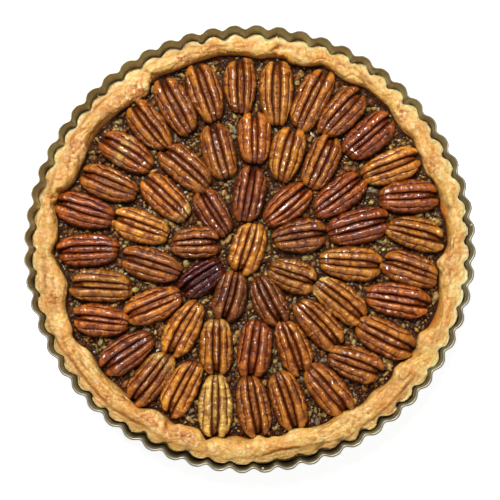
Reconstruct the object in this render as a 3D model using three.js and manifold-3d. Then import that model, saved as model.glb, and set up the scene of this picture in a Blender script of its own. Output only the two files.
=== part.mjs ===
// Pecan pie in its fluted tart tin: tin, pastry crust, glazed filling with chopped nuts, 56 pecan halves.
// Millimetres, +Z up, origin at the centre of the tin's underside.

import * as THREE from 'three';
import { mergeVertices } from 'three/addons/utils/BufferGeometryUtils.js';
import Module from 'manifold-3d';

// ---------- driving dimensions ----------

const tin = {
  rimRadius: 119.6, // mean outer radius of the wall at the rim
  baseRadius: 113.6, // mean outer radius of the wall at the base
  height: 30,
  thickness: 0.6,
  lip: 0.55, // how far the rolled rim stands proud of the wall
  lipHeight: 1.5,
  cornerRadius: 1.6,
  flutes: 60,
  fluteDepthRim: 1.15, // half of peak to trough
  fluteDepthBase: 1.05,
  firstFlute: 3.9, // bearing of a flute's peak, degrees
};

const fitGap = 0.3; // between neighbouring pieces

const crust = {
  floor: 3.4, // thickness of the pastry under the filling
  outerHeight: 22.6, // height of the outer edge
  crestHeight: 24.4,
  crestShare: 0.45, // place of the crest between the inner edge, 0, and the outer edge, 1
  innerHeight: 21.2, // height of the inner edge
  innerRadius: 105.6, // inner edge between folds
  footRadius: 104.2, // inner face at the filling
  flooredRadius: 101, // inner face at the floor
  fluteShare: 0.9, // how much of the tin's flutes the outer edge keeps
};

// Thumb folds of the inner edge: bearing in degrees, reach to the centre (outwards when negative), spread.
const crustFolds = [
  [3, -1.4, 6], [14, -2.2, 5], [24, 1.2, 3], [31.5, -1.6, 2.5], [45.5, -2.2, 4], [56, -1, 4],
  [66, -1.2, 3.5], [76, 1.8, 3], [87, 1.3, 4], [112, 1.2, 4], [127.5, 4.2, 5], [154, 4.1, 8],
  [166.5, -3.4, 4], [176, 1.6, 3.5], [182.5, -1.2, 3], [191, 5, 4.5], [199, 1.3, 4], [207, -1.6, 3],
  [213.5, 2.3, 3], [225, 2.5, 6], [240, 3, 3], [251.5, 3.5, 4.5], [257.6, -2.4, 1.4], [264, 1.6, 4],
  [272.5, 3.2, 2.5], [283, 4, 5], [296, 2.8, 4], [309.5, 2.5, 3.5], [320.5, 3.5, 4.5],
  [332, 2.4, 3.5], [341.5, -0.7, 5], [353.5, 3.6, 5],
];

// Places where the outer edge has drawn back from the tin: bearing, distance, spread.
const crustShrinkage = [
  [42.5, 1.2, 2], [74, 0.9, 9], [88, 1.1, 6], [95.5, 1.2, 2], [107, 0.9, 8], [127, 1.6, 9],
  [150, 1.1, 9], [172, 1.3, 6], [268, 1.3, 18], [281, 0.8, 6], [330, 0.4, 12],
];

// Cracks across the crest: bearing, depth, spread.
const crustCracks = [[80.5, 1.8, 1.6], [102, 1, 1.5], [165.5, 3, 1.3], [257.6, 2, 1.4], [326.5, 1.4, 2]];

const filling = {
  height: 16.5, // level of the glazed top
  edgeDrop: 1.1, // how far the top falls to the crust
  edgeWidth: 1.8,
  steps: 64,
};

const nutBit = {
  count: 430, // tries, most of which fall on a pecan half and are skipped
  smallest: 1.3,
  largest: 2.5,
  reach: 1.25, // clear half width that a chip needs, against its size
  sink: 0.35, // share of its size below the glaze
};

const pecan = {
  height: 8,
  edgeHeight: 2.7, // where the half is widest
  grooveHeight: 6, // bottom of the groove at mid length
  ridgeShare: 0.42, // place of a main ridge between the middle, 0, and the edge, 1
  footShare: 0.7,
  bluntness: 2.4, // 2 makes an ellipse, more makes blunter ends
  closedTaper: 0.1, // how much narrower the closed end is
  slimming: 0.95, // size of the solid against the whole half, whose lobes lap over its neighbours
  sweeps: 200,
  pullBack: 0.12, // share of the way back to its own place that a half is drawn at the first sweep
};

// Pecan halves, ring by ring: centre x, y, direction of the split end in degrees, length, width.
const outerRing = [
  [90.3, 6.9, -15, 32.5, 18.2], [86.8, 27.1, 3, 33, 19], [77.7, 43.7, 21, 34, 18.5],
  [65.7, 60.7, 40, 33, 19.3], [51.1, 73.3, 48, 33, 19], [34.9, 82, 64, 37, 18.3],
  [15.2, 85, 89, 37, 19.5], [-4.8, 89, 91, 31.5, 18.6], [-24, 85.8, 108, 34, 18.6],
  [-40.1, 78, 118, 35, 18.4], [-55.4, 67.4, 128, 32, 18.4], [-67, 52, 148, 32.5, 18.3],
  [-76.4, 34.8, 158, 33.5, 18.3], [-89.8, 20, 163, 33.5, 18.8], [-87.4, -1.8, 182, 34, 18],
  [-80.3, -21.2, 177, 34, 18], [-79.8, -39.8, 173, 30.5, 18], [-66, -57.4, 214, 32.5, 18.5],
  [-52.6, -71.4, 232, 33, 18.2], [-37, -76.2, 243, 32, 18], [-18.5, -86, 269, 34.5, 19],
  [2.2, -86.2, -80, 33.5, 18.6], [20.2, -83.4, -72, 33, 18.3], [41.6, -77.4, -50, 33, 18.5],
  [56.4, -63.3, -20, 31, 18.6], [73.2, -49.5, -26, 34, 19], [80, -29.4, -10, 35.5, 18.6],
  [87, -12.6, 161, 32, 17.8],
];
const middleRing = [
  [59.4, 10.8, 13.5, 35, 19], [49, 28.2, 37, 33.5, 18.4], [39.3, 46.8, 66, 32, 18],
  [20.7, 50.8, 75, 31.5, 19], [2.9, 60, 90, 29.5, 18.8], [-16.4, 52.6, 105, 32, 18.4],
  [-35, 44.2, 139, 33.5, 18.8], [-45.5, 27, 136, 33, 18], [-59.1, 11.3, 160, 32.5, 18],
  [-53.2, -9.8, 163, 34, 18], [-52.3, -31.9, 202, 33, 18.2], [-36, -45, 241, 34, 18.2],
  [-17.9, -54.2, 270, 31, 18.4], [2.5, -56.3, 262, 32, 18.9], [23.7, -55, -70, 31, 17.8],
  [37.8, -42.4, -47, 33.5, 18.2], [48.6, -29.8, -39, 33.5, 18], [55, -9.4, -5, 34.5, 19],
];
const innerRing = [
  [27.3, 5.4, 8, 29.5, 19], [20.4, 22.8, 40, 31, 17.6], [-0.1, 28.8, 80, 31.5, 18],
  [-19.4, 18.7, 122, 28.5, 17.2], [-29.2, 2.2, 2, 27.5, 17.6], [-25.9, -17.2, 213, 28, 16.8],
  [-10.6, -26.9, 255, 28.5, 18], [11.2, -29.3, -63, 29.5, 17.6], [23.1, -16.2, -19, 27.5, 18.3],
];
const centreHalf = [[-1, -0.9, 252, 29.5, 19]];

// ---------- materials ----------

function finish(color, roughness, metalness = 0) {
  return new THREE.MeshStandardMaterial({ color, roughness, metalness });
}

const tinFinish = finish(0x6a6146, 0.45, 0.8);
const crustFinish = finish(0xebb96e, 0.75);
const fillingFinish = finish(0x3c2814, 0.3);
const pecanFinish = finish(0xa05523, 0.35);

// ---------- helpers ----------

const radians = THREE.MathUtils.degToRad;
const blend = THREE.MathUtils.lerp;

function seededDraw(seed) {
  let state = seed;
  return () => {
    state = (state * 48271) % 2147483647;
    return state / 2147483647;
  };
}

// Smallest turn from one bearing to another, in degrees, from -180 to 180.
function bearingDifference(a, b) {
  return ((a - b + 540) % 360) - 180;
}

// Sum of the bumps of a list of [bearing, size, spread] at a bearing.
function bumps(list, bearing) {
  return list.reduce((sum, [centre, size, spread]) => {
    const turn = bearingDifference(bearing, centre) / spread;
    return sum + size * Math.exp(-turn * turn);
  }, 0);
}

// A closed solid from a stack of equal closed rings, with a fan to a centre point at each end.
function ringStack(rings, firstCentre, lastCentre) {
  const steps = rings[0].length;
  const points = [...rings.flat(), firstCentre, lastCentre];
  const first = points.length - 2;
  const last = points.length - 1;
  const index = [];
  for (let ring = 0; ring + 1 < rings.length; ring += 1) {
    for (let step = 0; step < steps; step += 1) {
      const next = (step + 1) % steps;
      const a = ring * steps + step;
      const b = ring * steps + next;
      index.push(a, b, b + steps, a, b + steps, a + steps);
    }
  }
  const lastRing = (rings.length - 1) * steps;
  for (let step = 0; step < steps; step += 1) {
    const next = (step + 1) % steps;
    index.push(first, next, step);
    index.push(last, lastRing + step, lastRing + next);
  }
  const geometry = new THREE.BufferGeometry().setFromPoints(points);
  geometry.setIndex(index);
  return geometry;
}

function addMesh(group, name, geometry, material) {
  const mesh = new THREE.Mesh(geometry, material);
  mesh.name = name;
  group.add(mesh);
  return mesh;
}

// ---------- tin ----------

const aroundSteps = tin.flutes * 4; // peak, flank, trough, flank

// Broad rounded peaks and narrower troughs, from -1 to 1.
function fluteWave(bearing) {
  const phase = radians((bearing - tin.firstFlute) * tin.flutes);
  return Math.cos(phase) + 0.18 * (1 - Math.cos(2 * phase));
}

// Radius of the tin's outer wall.
function wallRadius(bearing, height, fluteShare = 1) {
  const rise = height / tin.height;
  const depth = blend(tin.fluteDepthBase, tin.fluteDepthRim, rise);
  return blend(tin.baseRadius, tin.rimRadius, rise) + fluteShare * depth * fluteWave(bearing);
}

// A ring of points round the Z axis, with its radius and height from the bearing.
function ringAround(steps, radiusAt, heightAt) {
  return Array.from({ length: steps }, (_, step) => {
    const bearing = tin.firstFlute + (step * 360) / steps;
    const radius = radiusAt(bearing);
    const turn = radians(bearing);
    return new THREE.Vector3(radius * Math.cos(turn), radius * Math.sin(turn), heightAt(bearing));
  });
}

function tinRing(height, inset) {
  return ringAround(aroundSteps, (bearing) => wallRadius(bearing, height) - inset, () => height);
}

function tinGeometry() {
  const rings = [
    tinRing(0, tin.cornerRadius),
    tinRing(tin.cornerRadius, 0),
    tinRing(tin.height - tin.lipHeight, 0),
    tinRing(tin.height - tin.lipHeight / 2, -tin.lip),
    tinRing(tin.height, 0),
    tinRing(tin.height - tin.lipHeight / 2, tin.thickness),
    tinRing(tin.cornerRadius, tin.thickness),
    tinRing(tin.thickness, tin.cornerRadius + tin.thickness / 2),
  ];
  return ringStack(rings, new THREE.Vector3(0, 0, 0), new THREE.Vector3(0, 0, tin.thickness));
}

// ---------- crust ----------

function crustInnerRadius(bearing) {
  return crust.innerRadius - bumps(crustFolds, bearing);
}

function crustOuterRadius(bearing, height) {
  const shrinkage = bumps(crustShrinkage, bearing) * (height / tin.height);
  return wallRadius(bearing, height, crust.fluteShare) - flutedMargin(height) - shrinkage;
}

// Keeps the softer flutes of the pastry clear of the tin's peaks and troughs.
function flutedMargin(height) {
  const depth = blend(tin.fluteDepthBase, tin.fluteDepthRim, height / tin.height);
  return tin.thickness + fitGap + (1 - crust.fluteShare) * depth;
}

function crestHeight(bearing) {
  const wander = 0.35 * Math.sin(radians(5 * bearing)) + 0.25 * Math.cos(radians(11 * bearing));
  return crust.crestHeight + wander - bumps(crustCracks, bearing);
}

// Radius between the inner edge, share 0, and the outer edge, share 1.
function crustRadiusAcross(bearing, share) {
  return blend(crustInnerRadius(bearing), crustOuterRadius(bearing, crust.outerHeight), share);
}

function crustGeometry() {
  const underside = tin.thickness + fitGap;
  const cornerTop = tin.cornerRadius + 2 * fitGap;
  const floorTop = underside + crust.floor;
  const foot = filling.height - filling.edgeDrop + 0.6;
  const ring = (radiusAt, heightAt) => ringAround(aroundSteps, radiusAt, heightAt);
  const rings = [
    ring((b) => crustOuterRadius(b, underside) - tin.cornerRadius, () => underside),
    ring((b) => crustOuterRadius(b, cornerTop), () => cornerTop),
    ring((b) => crustOuterRadius(b, crust.outerHeight), () => crust.outerHeight),
    ring((b) => crustRadiusAcross(b, 0.8), (b) => crestHeight(b) - 0.5),
    ring((b) => crustRadiusAcross(b, crust.crestShare), crestHeight),
    ring((b) => crustRadiusAcross(b, 0.12), (b) => crestHeight(b) - 1.2),
    ring(crustInnerRadius, () => crust.innerHeight),
    ring((b) => blend(crustInnerRadius(b), crust.footRadius, 0.5), () => foot + 1.6),
    ring(() => crust.footRadius, () => foot),
    ring(() => crust.flooredRadius, () => floorTop),
  ];
  return ringStack(rings, new THREE.Vector3(0, 0, underside), new THREE.Vector3(0, 0, floorTop));
}

// ---------- pecan halves ----------

const pecanStations = [-0.88, -0.5, 0, 0.5, 0.88]; // sections along a half, between its tips at -1 and 1

// Half the width of a pecan half at a place along it, from -1, the closed end, to 1, the split end.
function pecanHalfWidth(half, along) {
  const taper = 1 - pecan.closedTaper * Math.max(0, -along);
  return (half.width / 2) * taper * Math.sqrt(1 - Math.abs(along) ** pecan.bluntness);
}

// Outline of a pecan half seen from above: tip, one flank, tip, the other flank.
function footprint(half) {
  const side = new THREE.Vector2(-half.heading.y, half.heading.x);
  const corner = (along, flank) => half.place.clone()
    .addScaledVector(half.heading, (along * half.length) / 2)
    .addScaledVector(side, flank * pecanHalfWidth(half, along));
  const there = pecanStations.map((along) => corner(along, -1));
  const back = [...pecanStations].reverse().map((along) => corner(along, 1));
  return [corner(-1, 0), ...there, corner(1, 0), ...back];
}

// Shortest push that parts two convex outlines by the gap, or null where they are clear of each other.
function partingPush(outline, other, gap) {
  let push = null;
  let least = Infinity;
  for (const loop of [outline, other]) {
    for (let corner = 0; corner < loop.length; corner += 1) {
      const edge = loop[(corner + 1) % loop.length].clone().sub(loop[corner]);
      const normal = new THREE.Vector2(edge.y, -edge.x).normalize();
      if (loop === other) normal.negate();
      const reach = Math.max(...outline.map((point) => point.dot(normal)));
      const start = Math.min(...other.map((point) => point.dot(normal)));
      const missing = reach + gap - start;
      if (missing <= 0) return null;
      if (missing < least) {
        least = missing;
        push = normal.multiplyScalar(missing);
      }
    }
  }
  return push;
}

// Pecan halves as they were laid, then nudged until none touches another or the crust.
function settledHalves() {
  const laid = [...outerRing, ...middleRing, ...innerRing, ...centreHalf];
  const halves = laid.map(([x, y, direction, length, width]) => {
    const heading = new THREE.Vector2(Math.cos(radians(direction)), Math.sin(radians(direction)));
    const place = new THREE.Vector2(x, y);
    const size = { length: length * pecan.slimming, width: width * pecan.slimming };
    return { place, laid: place.clone(), heading, ...size };
  });
  for (let sweep = 0; sweep < pecan.sweeps; sweep += 1) {
    const pull = pecan.pullBack * Math.max(0, 1 - (2 * sweep) / pecan.sweeps);
    halves.forEach((half) => half.place.lerp(half.laid, pull));
    halves.forEach(keepInsideCrust);
    halves.forEach((half, place) => {
      for (const other of halves.slice(place + 1)) pushApart(half, other);
    });
  }
  return halves;
}

function pushApart(half, other) {
  if (half.place.distanceTo(other.place) > (half.length + other.length) / 2 + fitGap) return;
  const push = partingPush(footprint(half), footprint(other), fitGap * 1.1);
  if (push === null) return;
  half.place.addScaledVector(push, -0.5);
  other.place.addScaledVector(push, 0.5);
}

function keepInsideCrust(half) {
  for (const corner of footprint(half)) {
    const bearing = THREE.MathUtils.radToDeg(Math.atan2(corner.y, corner.x));
    const inner = crustInnerRadius(bearing);
    const missing = corner.length() + fitGap - Math.min(inner, blend(crust.footRadius, inner, 0.76));
    if (missing > 0) half.place.addScaledVector(corner.normalize(), -missing / 2);
  }
}

// Sections along the half: foot, widest edge, main ridge, middle groove, and the same on the other side.
function pecanGeometry(half) {
  const foot = filling.height + fitGap;
  const sides = [
    [pecan.footShare, 0], [1, pecan.edgeHeight], [pecan.ridgeShare, pecan.height],
    [0, pecan.grooveHeight], [-pecan.ridgeShare, pecan.height], [-1, pecan.edgeHeight],
    [-pecan.footShare, 0],
  ];
  const side = new THREE.Vector2(-half.heading.y, half.heading.x);
  const place = (along, across, height) => {
    const spot = half.place.clone();
    spot.addScaledVector(half.heading, (along * half.length) / 2);
    spot.addScaledVector(side, across);
    return new THREE.Vector3(spot.x, spot.y, foot + height);
  };
  const rings = pecanStations.map((along) => {
    const halfWidth = pecanHalfWidth(half, along);
    const fall = 1 - 0.42 * Math.abs(along) ** 3;
    const lift = 0.6 * Math.abs(along) ** 4;
    return sides.map(([across, height]) => place(along, across * halfWidth, Math.max(height * fall, lift)));
  });
  return ringStack(rings, place(-1, 0, pecan.edgeHeight), place(1, 0, pecan.edgeHeight));
}

// ---------- filling ----------

function fillingGeometry() {
  const floor = tin.thickness + fitGap + crust.floor + fitGap;
  const edge = crust.footRadius - fitGap - 0.2;
  const circle = (radius, height) => ringAround(filling.steps, () => radius, () => height);
  const rings = [
    circle(crust.flooredRadius - 0.7, floor),
    circle(edge, filling.height - filling.edgeDrop),
    circle(edge - filling.edgeWidth, filling.height),
  ];
  return ringStack(rings, new THREE.Vector3(0, 0, floor), new THREE.Vector3(0, 0, filling.height));
}

// An uneven chip of nut: a low six-sided block with its corners drawn in and out.
function nutBitGeometry(x, y, size, draw) {
  const turn = draw() * Math.PI;
  const stretch = blend(1, 1.6, draw());
  const height = size * blend(0.7, 1.1, draw());
  const ring = (spread, level) => Array.from({ length: 4 }, (_, corner) => {
    const angle = turn + (corner * Math.PI) / 2;
    const reach = size * spread * blend(0.8, 1.15, draw()) * (corner % 2 ? 1 : stretch);
    return new THREE.Vector3(x + reach * Math.cos(angle), y + reach * Math.sin(angle), level);
  });
  const low = filling.height - height * nutBit.sink;
  const rings = [ring(0.9, low), ring(0.75, low + height * 0.8)];
  return ringStack(rings, new THREE.Vector3(x, y, low), new THREE.Vector3(x, y, low + height));
}

// True where a chip clears every pecan half and the crust.
function clearOfNeighbours(x, y, reach, outlines) {
  const square = [[-reach, -reach], [reach, -reach], [reach, reach], [-reach, reach]]
    .map(([dx, dy]) => new THREE.Vector2(x + dx, y + dy));
  const bearing = THREE.MathUtils.radToDeg(Math.atan2(y, x));
  if (Math.hypot(x, y) + reach > Math.min(crustInnerRadius(bearing), crust.footRadius - 2)) return false;
  return outlines.every((outline) => partingPush(outline, square, fitGap) === null);
}

// Chips in the gaps between the halves, tried along a sunflower spiral so that they lie evenly.
function nutBitGeometries(halves) {
  const draw = seededDraw(4523);
  const goldenTurn = Math.PI * (3 - Math.sqrt(5));
  const outlines = halves.map(footprint);
  const bits = [];
  for (let attempt = 0; attempt < nutBit.count; attempt += 1) {
    const radius = crust.footRadius * Math.sqrt((attempt + 0.5) / nutBit.count);
    const angle = attempt * goldenTurn;
    const x = radius * Math.cos(angle);
    const y = radius * Math.sin(angle);
    const size = blend(nutBit.smallest, nutBit.largest, draw());
    for (const share of [1, 0.75, 0.55]) {
      if (clearOfNeighbours(x, y, size * share * nutBit.reach, outlines)) {
        bits.push(nutBitGeometry(x, y, size * share, draw));
        break;
      }
    }
  }
  return bits;
}

// ---------- joining ----------

const manifold = await Module();
manifold.setup();

function toSolid(geometry) {
  const bare = geometry.clone();
  bare.deleteAttribute('normal');
  bare.deleteAttribute('uv');
  const merged = mergeVertices(bare, 1e-5);
  return new manifold.Manifold(new manifold.Mesh({
    numProp: 3,
    vertProperties: new Float32Array(merged.attributes.position.array),
    triVerts: new Uint32Array(merged.index.array),
  }));
}

function toGeometry(solid) {
  const mesh = solid.getMesh();
  const geometry = new THREE.BufferGeometry();
  geometry.setAttribute('position', new THREE.BufferAttribute(mesh.vertProperties, 3));
  geometry.setIndex(new THREE.BufferAttribute(mesh.triVerts, 1));
  return geometry;
}

function fillingWithBits(halves) {
  const body = toSolid(fillingGeometry());
  return toGeometry(nutBitGeometries(halves).reduce((solid, bit) => solid.add(toSolid(bit)), body));
}

// ---------- assembly ----------

const halves = settledHalves();
const pie = new THREE.Group();
addMesh(pie, 'tin', tinGeometry(), tinFinish);
addMesh(pie, 'crust', crustGeometry(), crustFinish);
addMesh(pie, 'filling', fillingWithBits(halves), fillingFinish);
halves.forEach((half, place) => {
  const number = String(place + 1).padStart(2, '0');
  addMesh(pie, `pecan_${number}`, pecanGeometry(half), pecanFinish);
});

export default pie;
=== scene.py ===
import math

import bpy
import numpy as np
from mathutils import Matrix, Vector


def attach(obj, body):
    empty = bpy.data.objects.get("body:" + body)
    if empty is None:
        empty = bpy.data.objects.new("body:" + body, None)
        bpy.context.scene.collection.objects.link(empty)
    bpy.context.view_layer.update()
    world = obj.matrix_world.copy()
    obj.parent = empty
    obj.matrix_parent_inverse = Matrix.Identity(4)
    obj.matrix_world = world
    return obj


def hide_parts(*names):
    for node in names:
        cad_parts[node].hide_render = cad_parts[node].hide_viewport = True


# Pecan pie in its fluted tin. Shapes are worked out in millimetres and put into meshes in metres.

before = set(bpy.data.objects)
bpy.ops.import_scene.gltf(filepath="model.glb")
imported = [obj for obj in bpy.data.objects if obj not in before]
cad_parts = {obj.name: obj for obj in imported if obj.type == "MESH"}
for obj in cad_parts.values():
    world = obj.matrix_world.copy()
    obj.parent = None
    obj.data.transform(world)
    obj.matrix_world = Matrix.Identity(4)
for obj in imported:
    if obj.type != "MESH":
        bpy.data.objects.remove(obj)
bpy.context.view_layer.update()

camera = {
    "place": (0.0, -0.0998, 0.8385),
    "aim": (0.0003, -0.0030, 0.0300),
    "lens": 109.32,
    "sensor": 36.0,
}


def newObject(name, data):
    # An object with the given data, linked into the scene.
    thing = bpy.data.objects.new(name, data)
    bpy.context.scene.collection.objects.link(thing)
    return thing


def aimAt(thing, place, aim):
    # The thing stands at its place, its own -Z turned along aim less place.
    thing.location = place
    thing.rotation_euler = (Vector(aim) - thing.location).to_track_quat("-Z", "Y").to_euler()


def makeCamera():
    # Field of view by the sensor's width over the lens.
    data = bpy.data.cameras.new("pieCamera")
    data.lens = camera["lens"]
    data.sensor_width = camera["sensor"]
    eye = newObject("pieCamera", data)
    aimAt(eye, camera["place"], camera["aim"])
    bpy.context.scene.camera = eye
    print("camera made")


makeCamera()


def linearColour(colour):
    # A screen colour from 0 to 255 as the linear colour that Blender's sockets take.
    share = np.asarray(colour, float) / 255
    return np.where(share <= 0.04045, share / 12.92, ((share + 0.055) / 1.055) ** 2.4)


def smoothStep(low, high, values):
    # 0 below low, 1 above high, 3s^2 - 2s^3 in between.
    share = np.clip((values - low) / (high - low), 0, 1)
    return share * share * (3 - 2 * share)


def facing(bearings, towards, low, high):
    # 0 to 1 while the cosine of the turn from one bearing rises from low to high.
    return smoothStep(low, high, np.cos(np.radians(bearings - towards)))


def bumpSum(bumps, bearings):
    # Sum of size * exp(-(turn / spread)^2) over rows of centre, size and spread, where turn is how far the
    # bearing is from the centre.
    centre, size, spread = np.array(bumps, float).T
    turn = (np.asarray(bearings)[..., None] - centre + 540) % 360 - 180
    return (size * np.exp(-((turn / spread) ** 2))).sum(-1)


def cellNoise(points, seed):
    # Seeded numbers from -1 to 1 on the corners of unit cells, blended inside a cell by 3s^2 - 2s^3 along
    # each axis.
    size = 32
    lattice = np.random.default_rng(seed).uniform(-1, 1, (size, size, size))
    cell = np.floor(points).astype(int)
    share = points - cell
    share = share * share * (3 - 2 * share)
    total = np.zeros(points.shape[:-1])
    for corner in np.ndindex(2, 2, 2):
        weight = np.where(corner, share, 1 - share).prod(-1)
        x, y, z = np.moveaxis((cell + corner) % size, -1, 0)
        total += weight * lattice[x, y, z]
    return total


def roughness(points, size, layers, seed):
    # Cell noise of the given size plus finer layers, each half as large and half as strong.
    points = np.asarray(points, float) / np.asarray(size, float)
    total = 0
    for layer in range(layers):
        total = total + cellNoise(points * 2**layer + 5.17 * layer, seed + layer) / 2**layer
    return total


def polarPoints(radius, bearings, height):
    # Radius, bearing in degrees and height as x, y, z.
    turn = np.radians(bearings)
    return np.stack(np.broadcast_arrays(radius * np.cos(turn), radius * np.sin(turn), height), -1)


def polarOf(points):
    # The other way round: x and y as radius and bearing in degrees.
    x, y = points[..., 0], points[..., 1]
    return np.hypot(x, y), np.degrees(np.arctan2(y, x))


def alongAcross(away, heading):
    # Offsets in plan: along a unit heading, and across it to its left.
    return away @ heading, away @ np.array([-heading[1], heading[0]])


def rotated(first, second, turn):
    # Two coordinates turned in their own plane.
    return first * np.cos(turn) - second * np.sin(turn), first * np.sin(turn) + second * np.cos(turn)


def rounding(q, power):
    # How far a superellipse has fallen at q: 1 - (1 - |q|^n)^(1/n).
    return 1 - (1 - np.abs(q) ** power) ** (1 / power)


def ringNormals(rings):
    # Unit cross product of the slopes round each ring and from ring to ring.
    around = np.roll(rings, -1, 1) - np.roll(rings, 1, 1)
    normal = np.cross(around, np.gradient(rings, axis=0))
    return normal / np.maximum(np.linalg.norm(normal, axis=-1, keepdims=True), 1e-9)


def gridQuads(rows, columns, wrapped):
    # Four neighbouring points of a grid; where it is wrapped, the last column is joined to the first.
    spans = columns if wrapped else columns - 1
    row, column = np.meshgrid(np.arange(rows - 1), np.arange(spans), indexing="ij")
    beside = (column + 1) % columns
    here, above = row * columns, (row + 1) * columns
    return np.stack([here + column, here + beside, above + beside, above + column], -1).reshape(-1, 4)


def ringFaces(count, around):
    # Quads between stacked rings and a fan of triangles at both poles, which are the last two points.
    here = np.arange(around)
    beside = (here + 1) % around
    last = (count - 1) * around
    first = np.stack([np.full(around, count * around), beside, here], -1)
    final = np.stack([np.full(around, count * around + 1), last + here, last + beside], -1)
    return gridQuads(count, around, True), np.concatenate([first, final])


def ringSolid(rings, firstPole, lastPole):
    # Rings of equal length stacked from the first pole to the last.
    points = np.concatenate([rings.reshape(-1, 3), [firstPole, lastPole]])
    return points, *ringFaces(*rings.shape[:2])


def borderOf(rows, columns):
    # Indices of a grid's border points, counter-clockwise where rows run along +X and columns along +Y.
    row, column = np.arange(rows), np.arange(columns)
    out = [row * columns, (rows - 1) * columns + column[1:]]
    back = [row[-2::-1] * columns + columns - 1, column[-2:0:-1]]
    return np.concatenate(out + back)


def sheetSolid(grid, lowerRings, pole):
    # A sheet seen from above, closed below it by rings that follow its border and by a fan to a pole.
    rows, columns = grid.shape[:2]
    upper = borderOf(rows, columns)
    around = len(upper)
    points = np.concatenate([grid.reshape(-1, 3), *lowerRings, [pole]])
    quads = [gridQuads(rows, columns, False)[:, ::-1]]
    for level in range(len(lowerRings)):
        lower = rows * columns + level * around + np.arange(around)
        quads.append(np.stack([upper, lower, np.roll(lower, -1), np.roll(upper, -1)], -1))
        upper = lower
    fan = np.stack([np.roll(upper, -1), upper, np.full(around, len(points) - 1)], -1)
    return points, np.concatenate(quads), fan


# How a mesh holds a piece's own values; any other label is one number for each point.
attributeKinds = {"place": ("FLOAT_VECTOR", "vector"), "tone": ("FLOAT_COLOR", "color")}


def makePiece(name, points, quads, triangles, attributes, material, slot, nodes):
    # Points in millimetres become one smooth mesh that rides on the root body and replaces the given nodes.
    mesh = bpy.data.meshes.new(name)
    mesh.vertices.add(len(points))
    mesh.vertices.foreach_set("co", (points / 1000).astype(np.float32).ravel())
    corners = np.concatenate([quads.ravel(), triangles.ravel()]).astype(np.int32)
    starts = np.concatenate([4 * np.arange(len(quads)), 4 * len(quads) + 3 * np.arange(len(triangles))])
    mesh.loops.add(len(corners))
    mesh.loops.foreach_set("vertex_index", corners)
    mesh.polygons.add(len(starts))
    mesh.polygons.foreach_set("loop_start", starts.astype(np.int32))
    mesh.update(calc_edges=True)
    mesh.shade_smooth()
    for label, values in attributes.items():
        kind, field = attributeKinds.get(label, ("FLOAT", "value"))
        values = np.asarray(values, np.float32)
        if label == "tone":
            values = np.concatenate([values, np.ones((len(values), 1), np.float32)], 1)
        mesh.attributes.new(label, kind, "POINT").data.foreach_set(field, values.ravel())
    mesh.materials.append(material)
    piece = newObject(name, mesh)
    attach(piece, "root")
    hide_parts(*nodes)


def newMaterial(name, fixed):
    # A material whose shader has the given numbers on its own sockets.
    material = bpy.data.materials.new(name)
    material.use_nodes = True
    shader = material.node_tree.nodes["Principled BSDF"]
    for label, value in fixed.items():
        shader.inputs[label].default_value = value
    return material


def feed(material, socket, value):
    # Another node's output is linked to the socket; anything else becomes the socket's own value.
    if isinstance(value, bpy.types.NodeSocket):
        material.node_tree.links.new(value, socket)
    else:
        socket.default_value = value


def drive(material, label, value):
    # The same for a socket of the material's main shader.
    feed(material, material.node_tree.nodes["Principled BSDF"].inputs[label], value)


def addNode(material, kind, inputs, **settings):
    # A shader node with its settings and its inputs fed.
    node = material.node_tree.nodes.new("ShaderNode" + kind)
    for label, value in settings.items():
        setattr(node, label, value)
    for label, value in inputs.items():
        feed(material, node.inputs[label], value)
    return node


def noiseNode(material, scale, detail, stretch=(1, 1, 1), distortion=0.0, coordinates=None):
    # Noise on object coordinates unless others are given; scale is the number of features in a metre.
    vector = coordinates or addNode(material, "TexCoord", {}).outputs["Object"]
    stretched = addNode(material, "Mapping", {"Vector": vector, "Scale": stretch}).outputs["Vector"]
    inputs = {"Vector": stretched, "Scale": scale, "Detail": detail, "Distortion": distortion}
    return addNode(material, "TexNoise", inputs).outputs["Fac"]


def attributeNode(material, label, output="Fac"):
    # One of the mesh's own values.
    return addNode(material, "Attribute", {}, attribute_name=label).outputs[output]


def rangeNode(material, value, low, high, to=(0, 1)):
    # The value's range from low to high stretched to another one and held inside it.
    inputs = {"Value": value, "From Min": low, "From Max": high, "To Min": to[0], "To Max": to[1]}
    return addNode(material, "MapRange", inputs, interpolation_type="SMOOTHSTEP").outputs["Result"]


def productNode(material, first, second):
    # First times second.
    return addNode(material, "Math", {0: first, 1: second}, operation="MULTIPLY").outputs[0]


def mixNode(material, share, first, second, blend="MIX"):
    # Two colours mixed; a colour is a screen colour or another node's output.
    node = addNode(material, "Mix", {0: share}, data_type="RGBA", blend_type=blend)
    for place, colour in ((6, first), (7, second)):
        if not isinstance(colour, bpy.types.NodeSocket):
            colour = (*linearColour(colour), 1)
        feed(material, node.inputs[place], colour)
    return node.outputs[2]


def paintOver(material, colour, coats):
    # Coats of paint, one over the other: a coat's share is a value, or a range of it stretched to another.
    for share, paint, *span in coats:
        share = rangeNode(material, share, *span) if span else share
        colour = mixNode(material, share, colour, paint)
    return colour


def bumpNode(material, height, distance, strength=1.0, before=None):
    # Bump in metres of relief, added to the bump before it.
    inputs = {"Height": height, "Distance": distance, "Strength": strength}
    if before is not None:
        inputs["Normal"] = before
    return addNode(material, "Bump", inputs).outputs["Normal"]


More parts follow.
